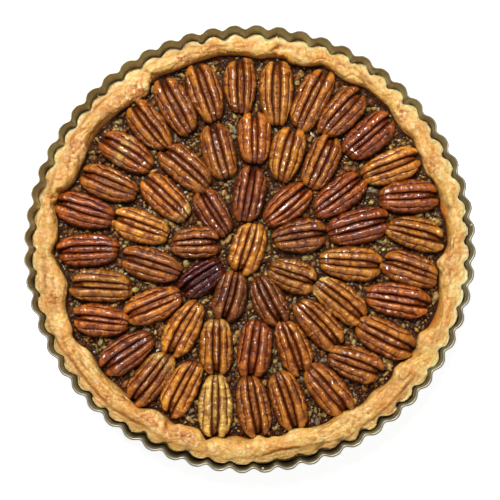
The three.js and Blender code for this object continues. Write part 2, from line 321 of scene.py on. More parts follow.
tin = {
    "rimRadius": 119.6,
    "baseRadius": 113.6,
    "height": 30.0,
    "thickness": 0.6,
    "lip": 0.55,
    "lipHeight": 1.5,
    "lipStart": 2.2,  # where the lip leaves the wall, in halves of its height under the rim
    "lipSwell": 0.8,  # how much farther the lip stands out on the side with the most painted shade
    "cornerRadius": 1.6,
    "innerCorner": 1.3,
    "innerLift": 0.3,
    "flutes": 60,
    "fluteDepthRim": 1.15,
    "fluteDepthBase": 1.05,
    "firstFlute": 3.9,
    "stepsInFlute": 16,
    "wallRows": 10,
    "metal": (192, 186, 154),
    "darkMetal": (164, 157, 125),
    "paleMetal": (172, 167, 140),
    "rust": (150, 128, 70),
    "rimMetal": (176, 172, 156),
    # painted shade: its colour, and the bearing of the side that gets the most of it
    "shadeSide": (52, 47, 32),
    "shadeSideBearing": 294.0,
    "shadeSideReach": (-0.75, 0.3),  # cosines of the turn from that bearing
    "rimBandHeights": (28.4, 29.2),
    "wearAndHighlight": (0.3, 0.7),  # wear all round, and a painted highlight that the shade side adds
    "insidePaintedShade": (0.56, 0.38, 0.45),  # painted shade inside: the shade side, what is added low down, the rest
    "insideHeights": (23.5, 28.5, 22.5, 27.5),
    # painted shade on the wall's inside around rightBearing
    "rightPaintedShade": 0.1,
    "rightBearing": 350.0,
    "outsidePaintedShade": (0.12, 0.24, 0.58),  # painted shade outside: all round, what the shade side adds, what is added low down
    "outsideHeights": (26.0, 28.6),
}


def fluteWave(bearings):
    # cos p + 0.18 (1 - cos 2p): broad rounded peaks, narrower troughs.
    phase = np.radians((bearings - tin["firstFlute"]) * tin["flutes"])
    return np.cos(phase) + 0.18 * (1 - np.cos(2 * phase))


def wallRadius(bearings, height):
    # The tin's outer wall: a cone whose radius swings with the flutes, deeper towards the rim.
    share = height / tin["height"]
    cone = tin["baseRadius"] + (tin["rimRadius"] - tin["baseRadius"]) * share
    depth = tin["fluteDepthBase"] + (tin["fluteDepthRim"] - tin["fluteDepthBase"]) * share
    return cone + depth * fluteWave(bearings)


def tinProfile():
    # Offset from the outer wall and height: up from the underside's edge, round the bead, down the inside.
    corner, lip, thickness, height = tin["cornerRadius"], tin["lip"], tin["thickness"], tin["height"]
    bead, inner, low = tin["lipHeight"] / 2, tin["innerCorner"], tin["cornerRadius"] + tin["innerLift"]
    turn = np.radians(np.linspace(-90, 0, 6))
    outerCorner = np.stack([corner * (np.cos(turn) - 1), corner * (1 + np.sin(turn))], -1)
    wall = np.linspace(corner, height - tin["lipStart"] * bead, tin["wallRows"])[1:]
    bend = np.radians(np.linspace(-65, 180, 11))
    middle, reach = (lip - thickness) / 2, (lip + thickness) / 2
    rolled = np.stack([middle + reach * np.cos(bend), height - bead + bead * np.sin(bend)], -1)
    inside = np.linspace(height - bead, low, tin["wallRows"])[1:]
    turn = -np.radians(np.linspace(0, 90, 6))[1:]
    innerCorner = np.stack([inner * (np.cos(turn) - 1) - thickness, low + inner * np.sin(turn)], -1)
    outerWall = np.stack([0 * wall, wall], -1)
    innerWall = np.stack([0 * inside - thickness, inside], -1)
    return np.concatenate([outerCorner, outerWall, rolled, innerWall, innerCorner])


def tinMaterial():
    # Grey-olive metal with upright streaks and rusty specks; the rim is worn and carries a painted
    # highlight, the rest is darkened by painted shade.
    material = newMaterial("oliveTinMetal", {"Metallic": 0.6})
    streaks = noiseNode(material, 900, 3, (1, 1, 0.12))
    clouds = noiseNode(material, 60, 4)
    specks = noiseNode(material, 1500, 2)
    scuffs = rangeNode(material, noiseNode(material, 420, 3, (1, 1, 0.4)), 0.3, 0.62)
    drive(material, "Base Color", paintOver(material, tin["metal"], [
        (clouds, tin["darkMetal"], 0.35, 0.7),
        (streaks, tin["paleMetal"], 0.3, 0.8, (0, 0.35)),
        (specks, tin["rust"], 0.68, 0.74, (0, 0.4)),
        # the lighter rim band: wear, and on the shade side a painted highlight
        (productNode(material, attributeNode(material, "wearAndHighlight"), scuffs), tin["rimMetal"]),
        # painted shade
        (attributeNode(material, "paintedShade"), tin["shadeSide"]),
    ]))
    drive(material, "Roughness", rangeNode(material, streaks, 0.2, 0.8, (0.32, 0.44)))
    drive(material, "Normal", bumpNode(material, streaks, 0.00006, 0.5))
    return material


def tinPaintedShade(bearings, height, outward, side):
    # Share of painted shade: more on the shade side and lower down, inside and outside each with its own
    # shares; inside, on the rest of the wall, it grows towards the top, so the wall beside the crust is
    # left lighter as painted light.
    near, under, far = tin["insidePaintedShade"]
    low, high, restLow, restHigh = tin["insideHeights"]
    inside = side * (near + under * (1 - smoothStep(low, high, height)))
    inside = inside + (1 - side) * far * smoothStep(restLow, restHigh, height)
    inside = inside + tin["rightPaintedShade"] * facing(bearings, tin["rightBearing"], 0.6, 1.0)
    plain, shadeSide, under = tin["outsidePaintedShade"]
    outside = plain + shadeSide * side + under * (1 - smoothStep(*tin["outsideHeights"], height))
    return np.where(outward, outside, inside)


def makeTin():
    # The profile is carried round the fluted wall and closed by a fan at the underside and at the floor.
    around = tin["flutes"] * tin["stepsInFlute"]
    bearings = tin["firstFlute"] + np.arange(around)[None] * 360 / around
    offset, height = tinProfile().T[..., None]
    side = facing(bearings, tin["shadeSideBearing"], *tin["shadeSideReach"])
    radius = wallRadius(bearings, height) + offset * (1 + tin["lipSwell"] * side * (offset > 0))
    outward = offset > -tin["thickness"] * 0.9
    # The rim band: wear all round, plus a painted highlight on the shade side.
    plain, shadeSide = tin["wearAndHighlight"]
    wearAndHighlight = smoothStep(*tin["rimBandHeights"], height) * outward * (plain + shadeSide * side)
    # how much painted shade each point gets
    paintedShade = tinPaintedShade(bearings, height, outward, side)
    attributes = {"wearAndHighlight": np.append(wearAndHighlight.ravel(), [0, 0]), "paintedShade": np.append(paintedShade.ravel(), [0, 0])}
    solid = ringSolid(polarPoints(radius, bearings, height), (0, 0, 0), (0, 0, tin["thickness"]))
    makePiece("tinShell", *solid, attributes, tinMaterial(), "tin_metal", ["tin"])
    print("tin made")


makeTin()

crust = {
    "crestHeight": 24.4,
    "crestShare": 0.45,
    "outerHeight": 22.4,
    "innerHeight": 20.4,
    "footHeight": 15.9,
    "floorRadius": 99.5,
    "floorHeight": 4.3,
    "underside": 0.9,
    "gap": 0.12,
    "wallHeights": (2.2, 6, 10, 14, 17, 19, 20.4, 21.5),
    "edgeHeights": (20.5, 23),  # over these the wall's radius gives way to the baked edge's
    "edgeNearDrop": (10, 2),  # how much lower they are on the near side
    "riseReach": 0.35,  # how far a rise of the edge also stands out
    "farLip": (-1.2, 0.4),  # how far the lip is drawn in and raised on the far side
    "ropePowers": (2.2, 3.0, 0.4, 0.62),  # fall outwards, inwards, more on the far side, height
    "slopePower": 0.7,
    "around": 1440,
    "topRows": 48,
    "slopeRows": 9,
    "innerRows": 14,  # rows of the rope that count as its inner side
    "turn": 704.0,  # a turn's length in noise, so that noise 5.5, 11 or 22 mm long closes on itself
    "eye": (0.0, -99.8, 838.5),  # the outlines below are as seen from here, in the plane at readHeight
    "readHeight": 24.0,
    "lipRead": 22.0,  # the true heights of the four outlines
    "footRead": 16.8,
    "edgeRead": 22.5,
    "lineRead": 23.5,
    "gold": (233, 187, 100),
    "orange": (222, 152, 62),
    "brown": (192, 118, 42),
    "pale": (252, 231, 168),
    "deepBrown": (160, 88, 22),
    # caramel and dark syrup, lighter than the soaked pastry's own colour because the slope they cover lies
    # in shade: partly painted light
    "caramel": (240, 160, 60),
    "darkSyrup": (194, 110, 34),
    "olive": (196, 154, 82),
    "bubble": (194, 98, 34),
    # painted glints on the blisters
    "paintedGlint": (255, 238, 200),
}


def onSightLines(height, rows):
    # Rows of bearing and radius in the plane at readHeight, carried along their lines of sight to another
    # height, eye + (point - eye) * share, with the share from the three heights; kept to a tenth.
    eye = np.array(crust["eye"])
    bearings, radius = np.array(rows, float).T
    seen = polarPoints(radius, bearings, 0.0)[:, :2]
    share = (eye[2] - height) / (eye[2] - crust["readHeight"])
    radius, bearings = polarOf(eye[:2] + (seen - eye[:2]) * share)
    curve = np.stack([bearings % 360, radius], -1)
    return np.round(curve[curve[:, 0].argsort()], 1)


# Bearing and radius of the inner lip, of its foot in the filling and of the outer edge's middle.
crustLip = onSightLines(crust["lipRead"], [
    (1, 108), (3, 108.5), (5, 108), (7, 107.8), (9, 108.9), (10.5, 110), (11.5, 109.4), (13, 108.7),
    (15, 108), (18, 107.1), (20, 106.4), (22, 104.6), (23.5, 104.4), (25, 104.8), (27, 106),
    (29, 105.7), (31, 106.4), (33, 107.3), (35, 106.4), (36, 105.7), (37.5, 105.3), (39, 105.5),
    (40.5, 106), (42, 106.6), (43.5, 107.5), (45, 108.5), (47, 108.4), (50, 108.2), (52, 109.1),
    (54, 108.7), (56, 107.3), (58, 106.2), (60, 105.7), (62, 106), (65, 107.3), (68.5, 108.2),
    (70, 106.6), (71.5, 105.3), (73, 104.4), (75, 104.3), (78, 104.8), (79.5, 107.4), (81, 108),
    (83, 107.3), (85, 105), (87, 104.6), (90, 105.6), (92, 106.4), (96, 108), (99, 108.9),
    (101.5, 107.1), (104, 106.6), (108, 106.6), (112, 106.6), (116, 108), (118, 108.9), (119.5, 109.2),
    (121, 105.3), (122, 103.2), (123, 101.4), (124.5, 100.9), (127, 102.1), (131, 102.5), (133, 103.5),
    (135, 105), (137, 106), (141, 106.9), (144.5, 106.9), (146, 106.2), (149, 103.5), (151, 102.3),
    (155, 102), (159, 102.3), (161, 103.9), (162.3, 105.3), (163.5, 108.3), (165, 107.5), (166.5, 108),
    (168, 109), (170, 107), (172, 105.3), (174, 104.5), (176, 104.1), (178, 104.4), (180, 106.2),
    (182, 107.3), (183, 106.4), (185, 104.4), (187, 103), (189.5, 101.2), (191, 100.5), (193.5, 101.4),
    (195, 102.5), (197, 104), (202, 105), (205, 105.4), (207, 107.1), (208, 107.2), (210, 106),
    (212, 103.9), (214, 103.2), (217, 104.1), (220, 104.8), (225, 104.9), (229, 104.5), (233, 104.8),
    (235, 105.4), (237, 104.4), (239, 102.3), (240.5, 101.7), (242.5, 101.9), (244, 103.2),
    (245.3, 104.6), (247, 104.4), (248, 103.1), (250.5, 102.5), (253, 102), (255, 102.8),
    (256.5, 105.7), (257.3, 107.1), (258, 106.2), (259, 105), (263, 104.4), (266, 104), (270, 104.3),
    (271, 103.4), (272.5, 101.9), (274, 103), (275, 103.7), (277, 103), (279, 103.7), (281, 103),
    (282, 101.6), (283.5, 101.4), (286.5, 102.1), (288, 103), (290, 103.5), (294, 103.7), (296, 102.8),
    (298, 102.1), (300, 102.8), (301.5, 103.7), (303, 104.1), (305, 104.5), (307, 104.1), (308, 103.5),
    (309.5, 102.8), (311, 103.7), (313, 104.4), (316, 104.6), (318, 103.5), (319, 102.5),
    (320.5, 102.3), (322, 103), (323, 104.4), (324, 105), (325, 106.2), (326, 107.3), (327, 107.3),
    (328, 106.4), (329, 105), (330, 103.9), (331, 103.5), (332, 103), (333, 103.5), (334, 104.6),
    (335, 106.2), (336, 108.2), (337, 108.9), (338, 109.4), (340, 108.9), (343, 108), (345, 107.3),
    (347, 106.2), (348.5, 105), (350, 104.8), (352, 104.8), (353, 103.2), (354, 102.3), (355, 101.9),
    (356, 102.8), (357, 104.4), (358, 106), (359, 107.3),
])
crustFoot = onSightLines(crust["footRead"], [
    (0, 107), (3, 107), (8, 106.8), (10.5, 105.6), (13, 106.4), (18, 106), (23.5, 104), (29, 105.2),
    (33, 106.6), (35, 105.8), (39, 105), (45, 107), (49, 107.2), (54, 107), (60, 105.2), (65, 106),
    (69, 107), (75, 103.8), (79, 104.6), (83, 104.2), (87, 104.2), (93, 105), (99, 105.9), (106, 105),
    (113, 104.4), (119, 105), (121.5, 104), (124.5, 100.5), (131, 102), (136, 102), (140, 102.7),
    (144, 103.2), (149, 102), (155, 100.9), (160, 101.2), (162.5, 103), (166, 106.5), (170, 106),
    (176, 103.7), (182, 105.6), (187, 102.5), (191, 100.1), (197, 103.6), (203, 104.6), (208, 106.6),
    (214, 102.8), (221, 104), (227, 103), (230, 103.4), (235, 104.9), (240.5, 101.3), (243.5, 101.7),
    (247, 103.6), (251, 102), (255, 102.4), (257.3, 106.4), (259, 104.4), (262, 103.6), (266, 102.1),
    (270, 103.3), (272.5, 101.5), (275, 103.2), (279, 103.2), (283.5, 101), (288, 102.6), (294, 103.2),
    (297, 101.8), (300, 102.3), (305, 104), (309.5, 102.4), (316, 104), (321, 102), (325, 104.6),
    (328, 104.1), (330, 103), (333, 103.1), (335, 105.3), (338, 106.3), (343, 106.2), (347, 104.6),
    (350, 103.5), (353, 102.8), (355, 101.5), (357, 104),
])
crustEdge = onSightLines(crust["edgeRead"], [
    (0, 117.2), (20, 117.1), (38, 116.9), (50, 116.9), (62, 116.9), (70, 116), (80, 115), (88, 115.6),
    (97, 115.6), (106, 116.4), (115, 116.6), (123, 115.3), (132, 115.7), (141, 116.4), (153, 116.4),
    (161, 115.7), (168, 115), (174, 115.9), (180, 116.5), (188, 116.9), (200, 117.3), (220, 118),
    (232, 117), (241, 116.2), (250, 116), (256, 115.9), (264, 116.7), (270, 116.6), (276, 116.3),
    (283, 116.2), (288, 116.6), (295, 116.8), (305, 117), (315, 117.2), (330, 117.2), (342, 116.8),
    (352, 117.4),
])
# How far the outer edge swings with the flutes: bearing, share.
crustSwing = [
    (0, 0.8), (30, 0.9), (62, 1.2), (72, 1), (80, 0.25), (86, 0.8), (112, 1), (121, 0.5), (134, 0.5),
    (142, 1), (160, 1), (170, 0.6), (195, 0.6), (208, 0.95), (230, 0.85), (245, 1.2), (258, 0.8),
    (272, 0.35), (284, 0.4), (292, 0.8), (340, 0.9), (350, 0.6),
]
# The line that parts the crest from a lower outer ledge: bearing, radius.
crustLine = onSightLines(crust["lineRead"], [
    (0, 113.5), (35, 113.5), (60, 114), (90, 113), (120, 113.2), (130, 113.1), (140, 113.7),
    (150, 113.4), (160, 113.2), (170, 112.5), (185, 112), (194, 113), (199, 115), (203, 116),
    (208, 115.3), (213, 113.8), (222, 113.6), (230, 114), (236, 112.6), (240, 111.9), (245, 112.8),
    (251, 113.4), (257, 113.6), (262, 114.2), (270, 113), (274, 112.6), (278, 110.8), (284, 111),
    (288, 111.6), (292, 113.2), (296, 114.4), (300, 114), (306, 113.8), (312, 113.6), (320, 112.8),
    (326, 113.2), (335, 113.6), (350, 113.6),
])
# Bumps over the bearings, each row a centre, a size and a spread: the outer edge higher against the tin,
# painted shade on the outer ledge, painted shade between the flutes, a darker crest, paler edges.
crustRises = [(332, 1.5, 34), (15, 1.0, 26), (225, 1.6, 40)]
crustLedgeShade = [(243, 0.6, 14), (277, 1.0, 13), (200, 0.3, 16)]
crustTroughs = [(283, 0.95, 12), (253, 0.5, 5), (216, 0.25, 8)]
crustDarkening = [(180, 0.14, 26), (240, 0.16, 22)]
crustPaleEdges = [(20, 0.5, 30), (75, 0.7, 25), (112, 0.6, 22), (150, 0.5, 18), (345, 0.5, 22)]
# Nicks (in) and thin points (out) of the outer edge, cracks across the crest, drops of the outer ledge.
crustNicks = [
    (42.6, 1.8, 0.9), (54.6, 0.5, 0.8), (84.4, 0.6, 0.8), (95.7, 1.1, 0.9), (102.4, 0.5, 0.8),
    (166, 1.2, 0.6), (240.7, 0.5, 0.8), (35, -0.9, 0.5), (82.4, -1.3, 0.35), (134.8, -0.8, 0.4),
    (312, -0.9, 0.5), (350.6, -1, 0.6),
]
crustCracks = [(80.5, 1.2, 1.6), (165.6, 2.4, 1), (257.5, 1.6, 1.2), (326.5, 0.9, 1.8)]
crustLedges = [
    (143, 0.9, 20), (188, 0.4, 6), (205, 0.8, 9), (217, 0.8, 8), (243, 1.25, 16), (281, 1.7, 12),
    (305, 0.8, 8), (318, 0.6, 7), (335, 0.3, 5), (354, 0.2, 6), (30, 0.2, 10), (112, 0.3, 10),
]
# Creases, and ridges where the depth is negative: bearing, radius, turn from the radius, half length,
# half width, depth.
crustCreases = [
    (80.7, 107.9, -52, 3.6, 0.9, -1.2), (82.2, 110.4, -50, 4, 0.9, 1), (97.3, 112.2, 74, 4, 0.5, -0.7),
    (165.8, 110.8, 2, 4, 0.35, 1.6), (257.8, 110, 8, 3, 0.4, 0.7), (230.2, 107.8, 127, 2.5, 0.35, 0.6),
    (237.8, 106.4, 148, 4.2, 0.8, -0.9), (215.5, 109.8, 90, 4, 0.35, 0.7), (218, 111.2, 85, 6, 0.35, 0.5),
    (222, 110.6, 95, 5, 0.3, 0.5), (207.6, 111, 12, 3, 0.3, 0.5), (206.4, 112, -10, 2.5, 0.3, 0.5),
    (252, 109.5, 70, 2.5, 0.35, 0.7), (249.5, 109, 110, 2.5, 0.35, 0.7), (251, 107.5, 90, 3, 0.3, 0.6),
    (288.8, 107.9, 76, 6.5, 0.6, -0.7), (290.5, 110.3, 80, 5, 0.4, -0.5),
    (287.5, 109.4, 80, 2.5, 0.5, 0.6), (298, 111.5, 20, 4, 0.6, -0.8), (326, 111, 55, 4, 0.5, -0.7),
    (327.5, 109, 50, 3, 0.5, 0.7), (335.5, 109.6, 40, 3, 0.6, -0.6), (147.6, 108.8, 0, 2.4, 0.6, -0.9),
    (149, 106, 75, 2, 0.5, -0.5), (150, 111, 90, 3, 0.4, 0.6), (155, 108.7, 30, 2.5, 0.4, 0.6),
    (156.5, 107.2, -30, 2.5, 0.4, 0.6), (160.5, 109.3, 10, 2, 0.5, 0.6), (143.8, 109.7, 35, 2, 0.35, 0.5),
    (74, 111, 20, 3, 0.5, -0.6), (72, 109, 75, 3, 0.5, 0.6), (93, 110.8, 85, 4, 0.6, -0.5),
    (119.8, 110.5, 30, 3.5, 0.5, 0.7), (109, 110.2, 85, 3, 0.4, 0.6), (43, 112, 20, 4, 0.5, 0.8),
    (29, 116, 10, 1.6, 0.5, 0.7), (22, 108.4, 60, 2.5, 0.5, 0.7), (10.4, 109, 5, 3, 0.6, 0.6),
    (196.5, 109, -20, 2.5, 0.35, 0.6), (195, 108.5, -15, 2.5, 0.35, 0.6), (193.5, 109.4, 40, 2, 0.4, 0.7),
    (183, 110, 10, 4, 0.5, 0.6), (245.5, 107, 20, 3.5, 0.6, 0.8), (263, 108.5, 80, 6, 0.5, -0.4),
    (304.8, 110, 30, 1.2, 0.5, 0.8), (301, 106.6, 20, 2.5, 0.5, 0.5), (278, 109.6, 85, 2, 0.4, 0.6),
    (359, 109, 60, 3, 0.5, 0.6), (353, 109.5, 70, 3, 0.4, 0.5), (190, 112, 85, 4, 0.4, 0.6),
    (227, 111.5, 100, 4, 0.3, 0.5), (15, 111.2, 88, 6, 0.6, -0.4), (320, 110, 85, 4, 0.4, 0.5),
]
# Blistered patches: bearing, radius, half width along the edge and across it, strength.
crustBlisters = [
    (126.5, 105, 12, 4.5, 1), (152, 107, 9, 4, 0.8), (241, 107.5, 6.5, 3.2, 0.9),
    (251, 108, 6.5, 3.2, 0.8), (24, 108.4, 5, 3, 0.6), (194, 109, 4, 3, 0.6), (303, 109, 7, 3, 0.4),
    (355, 108.4, 8, 4, 0.5), (41, 110.4, 5, 3, 0.7), (64, 111, 5, 3, 0.4), (108.5, 108.5, 4, 3, 0.6),
    (213, 110.5, 6, 3, 0.4), (330, 108, 6, 3, 0.3),
]


def closedCurve(table, bearings):
    # A smooth closed curve through rows of bearing and value: cubics, their slopes from neighbouring rows.
    place, value = np.array(table, float).T
    place = np.concatenate([place[-3:] - 360, place, place[:3] + 360])
    value = np.concatenate([value[-3:], value, value[:3]])
    slope = np.gradient(value, place)
    spot = np.mod(bearings, 360)
    low = np.searchsorted(place, spot, side="right") - 1
    span, rise = place[low + 1] - place[low], value[low + 1] - value[low]
    share = (spot - place[low]) / span
    bend = (slope[low] * span - rise) * (1 - share) + (rise - slope[low + 1] * span) * share
    return value[low] + rise * share + share * (1 - share) * bend


def farSide(bearings):
    # 1 on the side away from the camera, where the slope down to the filling is broad.
    return facing(bearings, 90, 0.2, 0.8)


def crustInnerRadius(bearings):
    # The lip, drawn in on the far side by as much of 1.5 mm as it stands out over its foot.
    lip = closedCurve(crustLip, bearings)
    over = np.clip((lip - closedCurve(crustFoot, bearings)) / 1.5, 0, 1)
    return lip + crust["farLip"][0] * farSide(bearings) * over


def crustFootRadius(bearings):
    # The foot in the filling, at least 0.1 mm inside the lip.
    return np.minimum(closedCurve(crustFoot, bearings), crustInnerRadius(bearings) - 0.1)


def crustOuterRadius(bearings, height):
    # The tin's inner wall less a gap; towards the top, the baked edge with its swing, nicks and points.
    wall = wallRadius(bearings, height) - tin["thickness"] - crust["gap"]
    edge = closedCurve(crustEdge, bearings) + closedCurve(crustSwing, bearings) * fluteWave(bearings)
    edge = edge + crust["riseReach"] * bumpSum(crustRises, bearings)
    edge = np.minimum(edge, wall) - bumpSum(crustNicks, bearings)
    near = facing(bearings, 270, 0.1, 0.7)
    low, high = [at - drop * near for at, drop in zip(crust["edgeHeights"], crust["edgeNearDrop"])]
    return wall + (edge - wall) * smoothStep(low, high, height)


def outerHeight(bearings):
    # The outer edge with its rises.
    return crust["outerHeight"] + bumpSum(crustRises, bearings)


def crestHeight(bearings):
    # The crest with two slow waves, less its cracks.
    waves = 0.35 * np.sin(np.radians(5 * bearings)) + 0.25 * np.cos(np.radians(11 * bearings))
    return crust["crestHeight"] + waves - bumpSum(crustCracks, bearings)


def creaseRelief(points):
    # For each crease, depth * exp(-(across / width)^2) fading past its half length along its own line.
    relief = np.zeros(points.shape[:-1])
    for bearing, radius, turn, length, width, depth in crustCreases:
        away = points[..., :2] - polarPoints(radius, bearing, 0.0)[:2]
        along, across = alongAcross(away, polarPoints(1.0, bearing + turn, 0.0)[:2])
        across = across + 0.25 * np.sin(1.3 * away.sum(-1))
        relief += depth * np.exp(-((across / width) ** 2)) * np.exp(-((along / length) ** 4))
    return relief


def blisterShare(points):
    # 1 in the middle of a blistered patch, falling as exp(-(around / width)^2 - (out / width)^2).
    share = np.zeros(points.shape[:-1])
    for bearing, radius, aroundWidth, outWidth, strength in crustBlisters:
        away = points[..., :2] - polarPoints(radius, bearing, 0.0)[:2]
        out, around = alongAcross(away, polarPoints(1.0, bearing, 0.0)[:2])
        share = np.maximum(share, strength * np.exp(-((around / aroundWidth) ** 2) - (out / outWidth) ** 2))
    return share


def crustRings(bearings):
    # Rows of the section: underside, outer wall, a rope of two superellipse quarters, slope to the filling.
    inner, crest, far = crustInnerRadius(bearings), crestHeight(bearings), farSide(bearings)
    lip = crust["innerHeight"] + crust["farLip"][1] * far
    edgeHeight = outerHeight(bearings)
    outer = crustOuterRadius(bearings, edgeHeight)
    under = crust["underside"]
    rows = [(crustOuterRadius(bearings, under) - tin["cornerRadius"], under + 0 * bearings)]
    for height in crust["wallHeights"]:
        rows.append((crustOuterRadius(bearings, height), height + 0 * bearings))
    middle = crust["crestShare"]
    outward, inward, farther, rope = crust["ropePowers"]
    for share in 0.5 + 0.5 * np.cos(np.linspace(0, math.pi, crust["topRows"])):
        if share > middle:
            low, fall, power = edgeHeight, (share - middle) / (1 - middle), outward
        else:
            low, fall, power = lip, (middle - share) / middle, inward + farther * far
        rows.append((inner + (outer - inner) * share, low + (crest - low) * (1 - fall**power) ** rope))
    foot = crustFootRadius(bearings)
    for share in np.linspace(0, 1, crust["slopeRows"] + 1)[1:]:
        reach = smoothStep(0, 1, share) * (1 - far) + share ** crust["slopePower"] * far
        rows.append((inner + (foot - inner) * reach, lip + (crust["footHeight"] - lip) * share))
    rows.append((crust["floorRadius"] + 0 * bearings, crust["floorHeight"] + 0 * bearings))
    radius, height = np.moveaxis(np.array(rows), 1, 0)
    return polarPoints(radius, bearings[None], height)


def unrolled(rings, bearings):
    # Along the edge, out from the centre and up.
    radius = polarOf(rings)[0]
    return np.stack([bearings[None] / 360 * crust["turn"] + 0 * radius, radius, rings[..., 2]], -1)


def crustRelief(rings, bearings):
    # Lumps, folds, layered flakes by the outer edge, notches between the scallops, the ledge with its line,
    # the creases and the blisters; all of it fades out on the rows that the tin and the filling hide.
    flat = unrolled(rings, bearings)
    edge = flat[0] * (1, 0, 0)
    radius = flat[..., 1]
    inner = crustInnerRadius(bearings)
    share = (radius - inner) / (crustOuterRadius(bearings, outerHeight(bearings)) - inner)
    shown = smoothStep(20.2, 21.4, rings[..., 2])
    blisters = blisterShare(rings)
    lumps = 0.45 * roughness(rings, 8.5, 2, 11) + 0.22 * roughness(rings, 2.8, 2, 21)
    fine = (0.12 + 0.42 * blisters) * roughness(rings, (1.5, 1.5, 2), 2, 61)
    ridges = np.maximum(0, 0.75 - 4 * np.abs(roughness(flat, (11, 4, 9), 2, 71)))
    folds = ridges * smoothStep(0, 0.5, roughness(flat, (22, 16, 16), 1, 81) + 0.2)
    layers = 0.28 * roughness(flat, (5.5, 0.8, 0.8), 2, 31) * smoothStep(0.6, 0.9, share)
    layers = layers + 0.12 * roughness(flat, (5.5, 1.7, 3), 2, 33)
    notches = smoothStep(-0.3, -1, fluteWave(bearings)) * smoothStep(0.8, 1.0, share) * 0.4
    drop = bumpSum(crustLedges, bearings)
    beyond = radius - closedCurve(crustLine, bearings) - 0.35 * roughness(edge, 5.5, 2, 91)
    broken = np.clip(0.6 + 0.9 * roughness(edge, 11, 2, 93), 0, 1.2)
    ledge = drop * (0.5 * broken * np.exp(-((beyond / 0.8) ** 2)) + 0.8 * smoothStep(-0.6, 1.0, beyond))
    creases = creaseRelief(rings)
    relief = lumps + fine + layers - 0.6 * folds - notches - ledge - creases
    # groove: where painted shade goes, along the ledge line, creases, folds and notches, less on raised
    # blister bumps
    groove = np.minimum(drop, 1) * broken * np.exp(-(beyond**2)) + creases + 0.8 * folds + 0.5 * notches
    groove = groove - 1.2 * fine * (blisters > 0.1)
    sunk = np.clip(drop - 0.9, 0, 1) * smoothStep(0, 1, beyond)
    return relief * shown, groove * shown, share, sunk


def crustMaterial():
    # Golden pastry, clouded, speckled and baked by the mesh's own values, soaked with syrup down its slope.
    # The mesh's values also paint highlight on raised parts, shade in grooves and low parts, and light on
    # the far slope; the blisters get painted glints.
    fixed = {"Coat Weight": 0.5, "Coat Roughness": 0.16, "Specular IOR Level": 0.2,
             "Subsurface Weight": 0.5, "Subsurface Radius": (1, 0.5, 0.2), "Subsurface Scale": 0.004}
    material = newMaterial("bakedPastry", fixed)
    patches = noiseNode(material, 70, 3, distortion=0.4)
    speckle = noiseNode(material, 520, 5, distortion=0.4)
    grain = noiseNode(material, 2100, 3)
    spots = noiseNode(material, 420, 4, distortion=0.6)
    own = {label: attributeNode(material, label)
           for label in ("clouds", "bakeAndShade", "blister", "pale", "olive", "syrup", "caramel")}
    bubbles = productNode(material, own["blister"], rangeNode(material, spots, 0.46, 0.57, (0, 0.8)))
    # pale spots in the blisters: painted glints
    paintedGlint = productNode(material, own["blister"], rangeNode(material, spots, 0.34, 0.42, (0.8, 0)))
    soaked = paintOver(material, crust["caramel"], [
        (own["syrup"], crust["darkSyrup"]),
        (speckle, crust["darkSyrup"], 0.4, 0.65, (0, 0.5)),
    ])
    drive(material, "Base Color", paintOver(material, crust["gold"], [
        (patches, crust["orange"], 0.4, 0.62, (0, 0.7)),
        (own["clouds"], crust["pale"]),
        (speckle, crust["brown"], 0.5, 0.66, (0, 0.45)),
        (speckle, crust["pale"], 0.31, 0.45, (0.5, 0)),
        (own["bakeAndShade"], crust["deepBrown"]),
        (bubbles, crust["bubble"]),
        (paintedGlint, crust["paintedGlint"]),
        (own["pale"], crust["pale"]),
        (own["olive"], crust["olive"]),
        (own["caramel"], soaked),
    ]))
    drive(material, "Roughness", rangeNode(material, speckle, 0.3, 0.7, (0.4, 0.62)))
    bump = bumpNode(material, grain, 0.0002, 0.6, bumpNode(material, speckle, 0.0013, 0.75))
    drive(material, "Normal", bump)
    drive(material, "Coat Normal", bump)
    return material


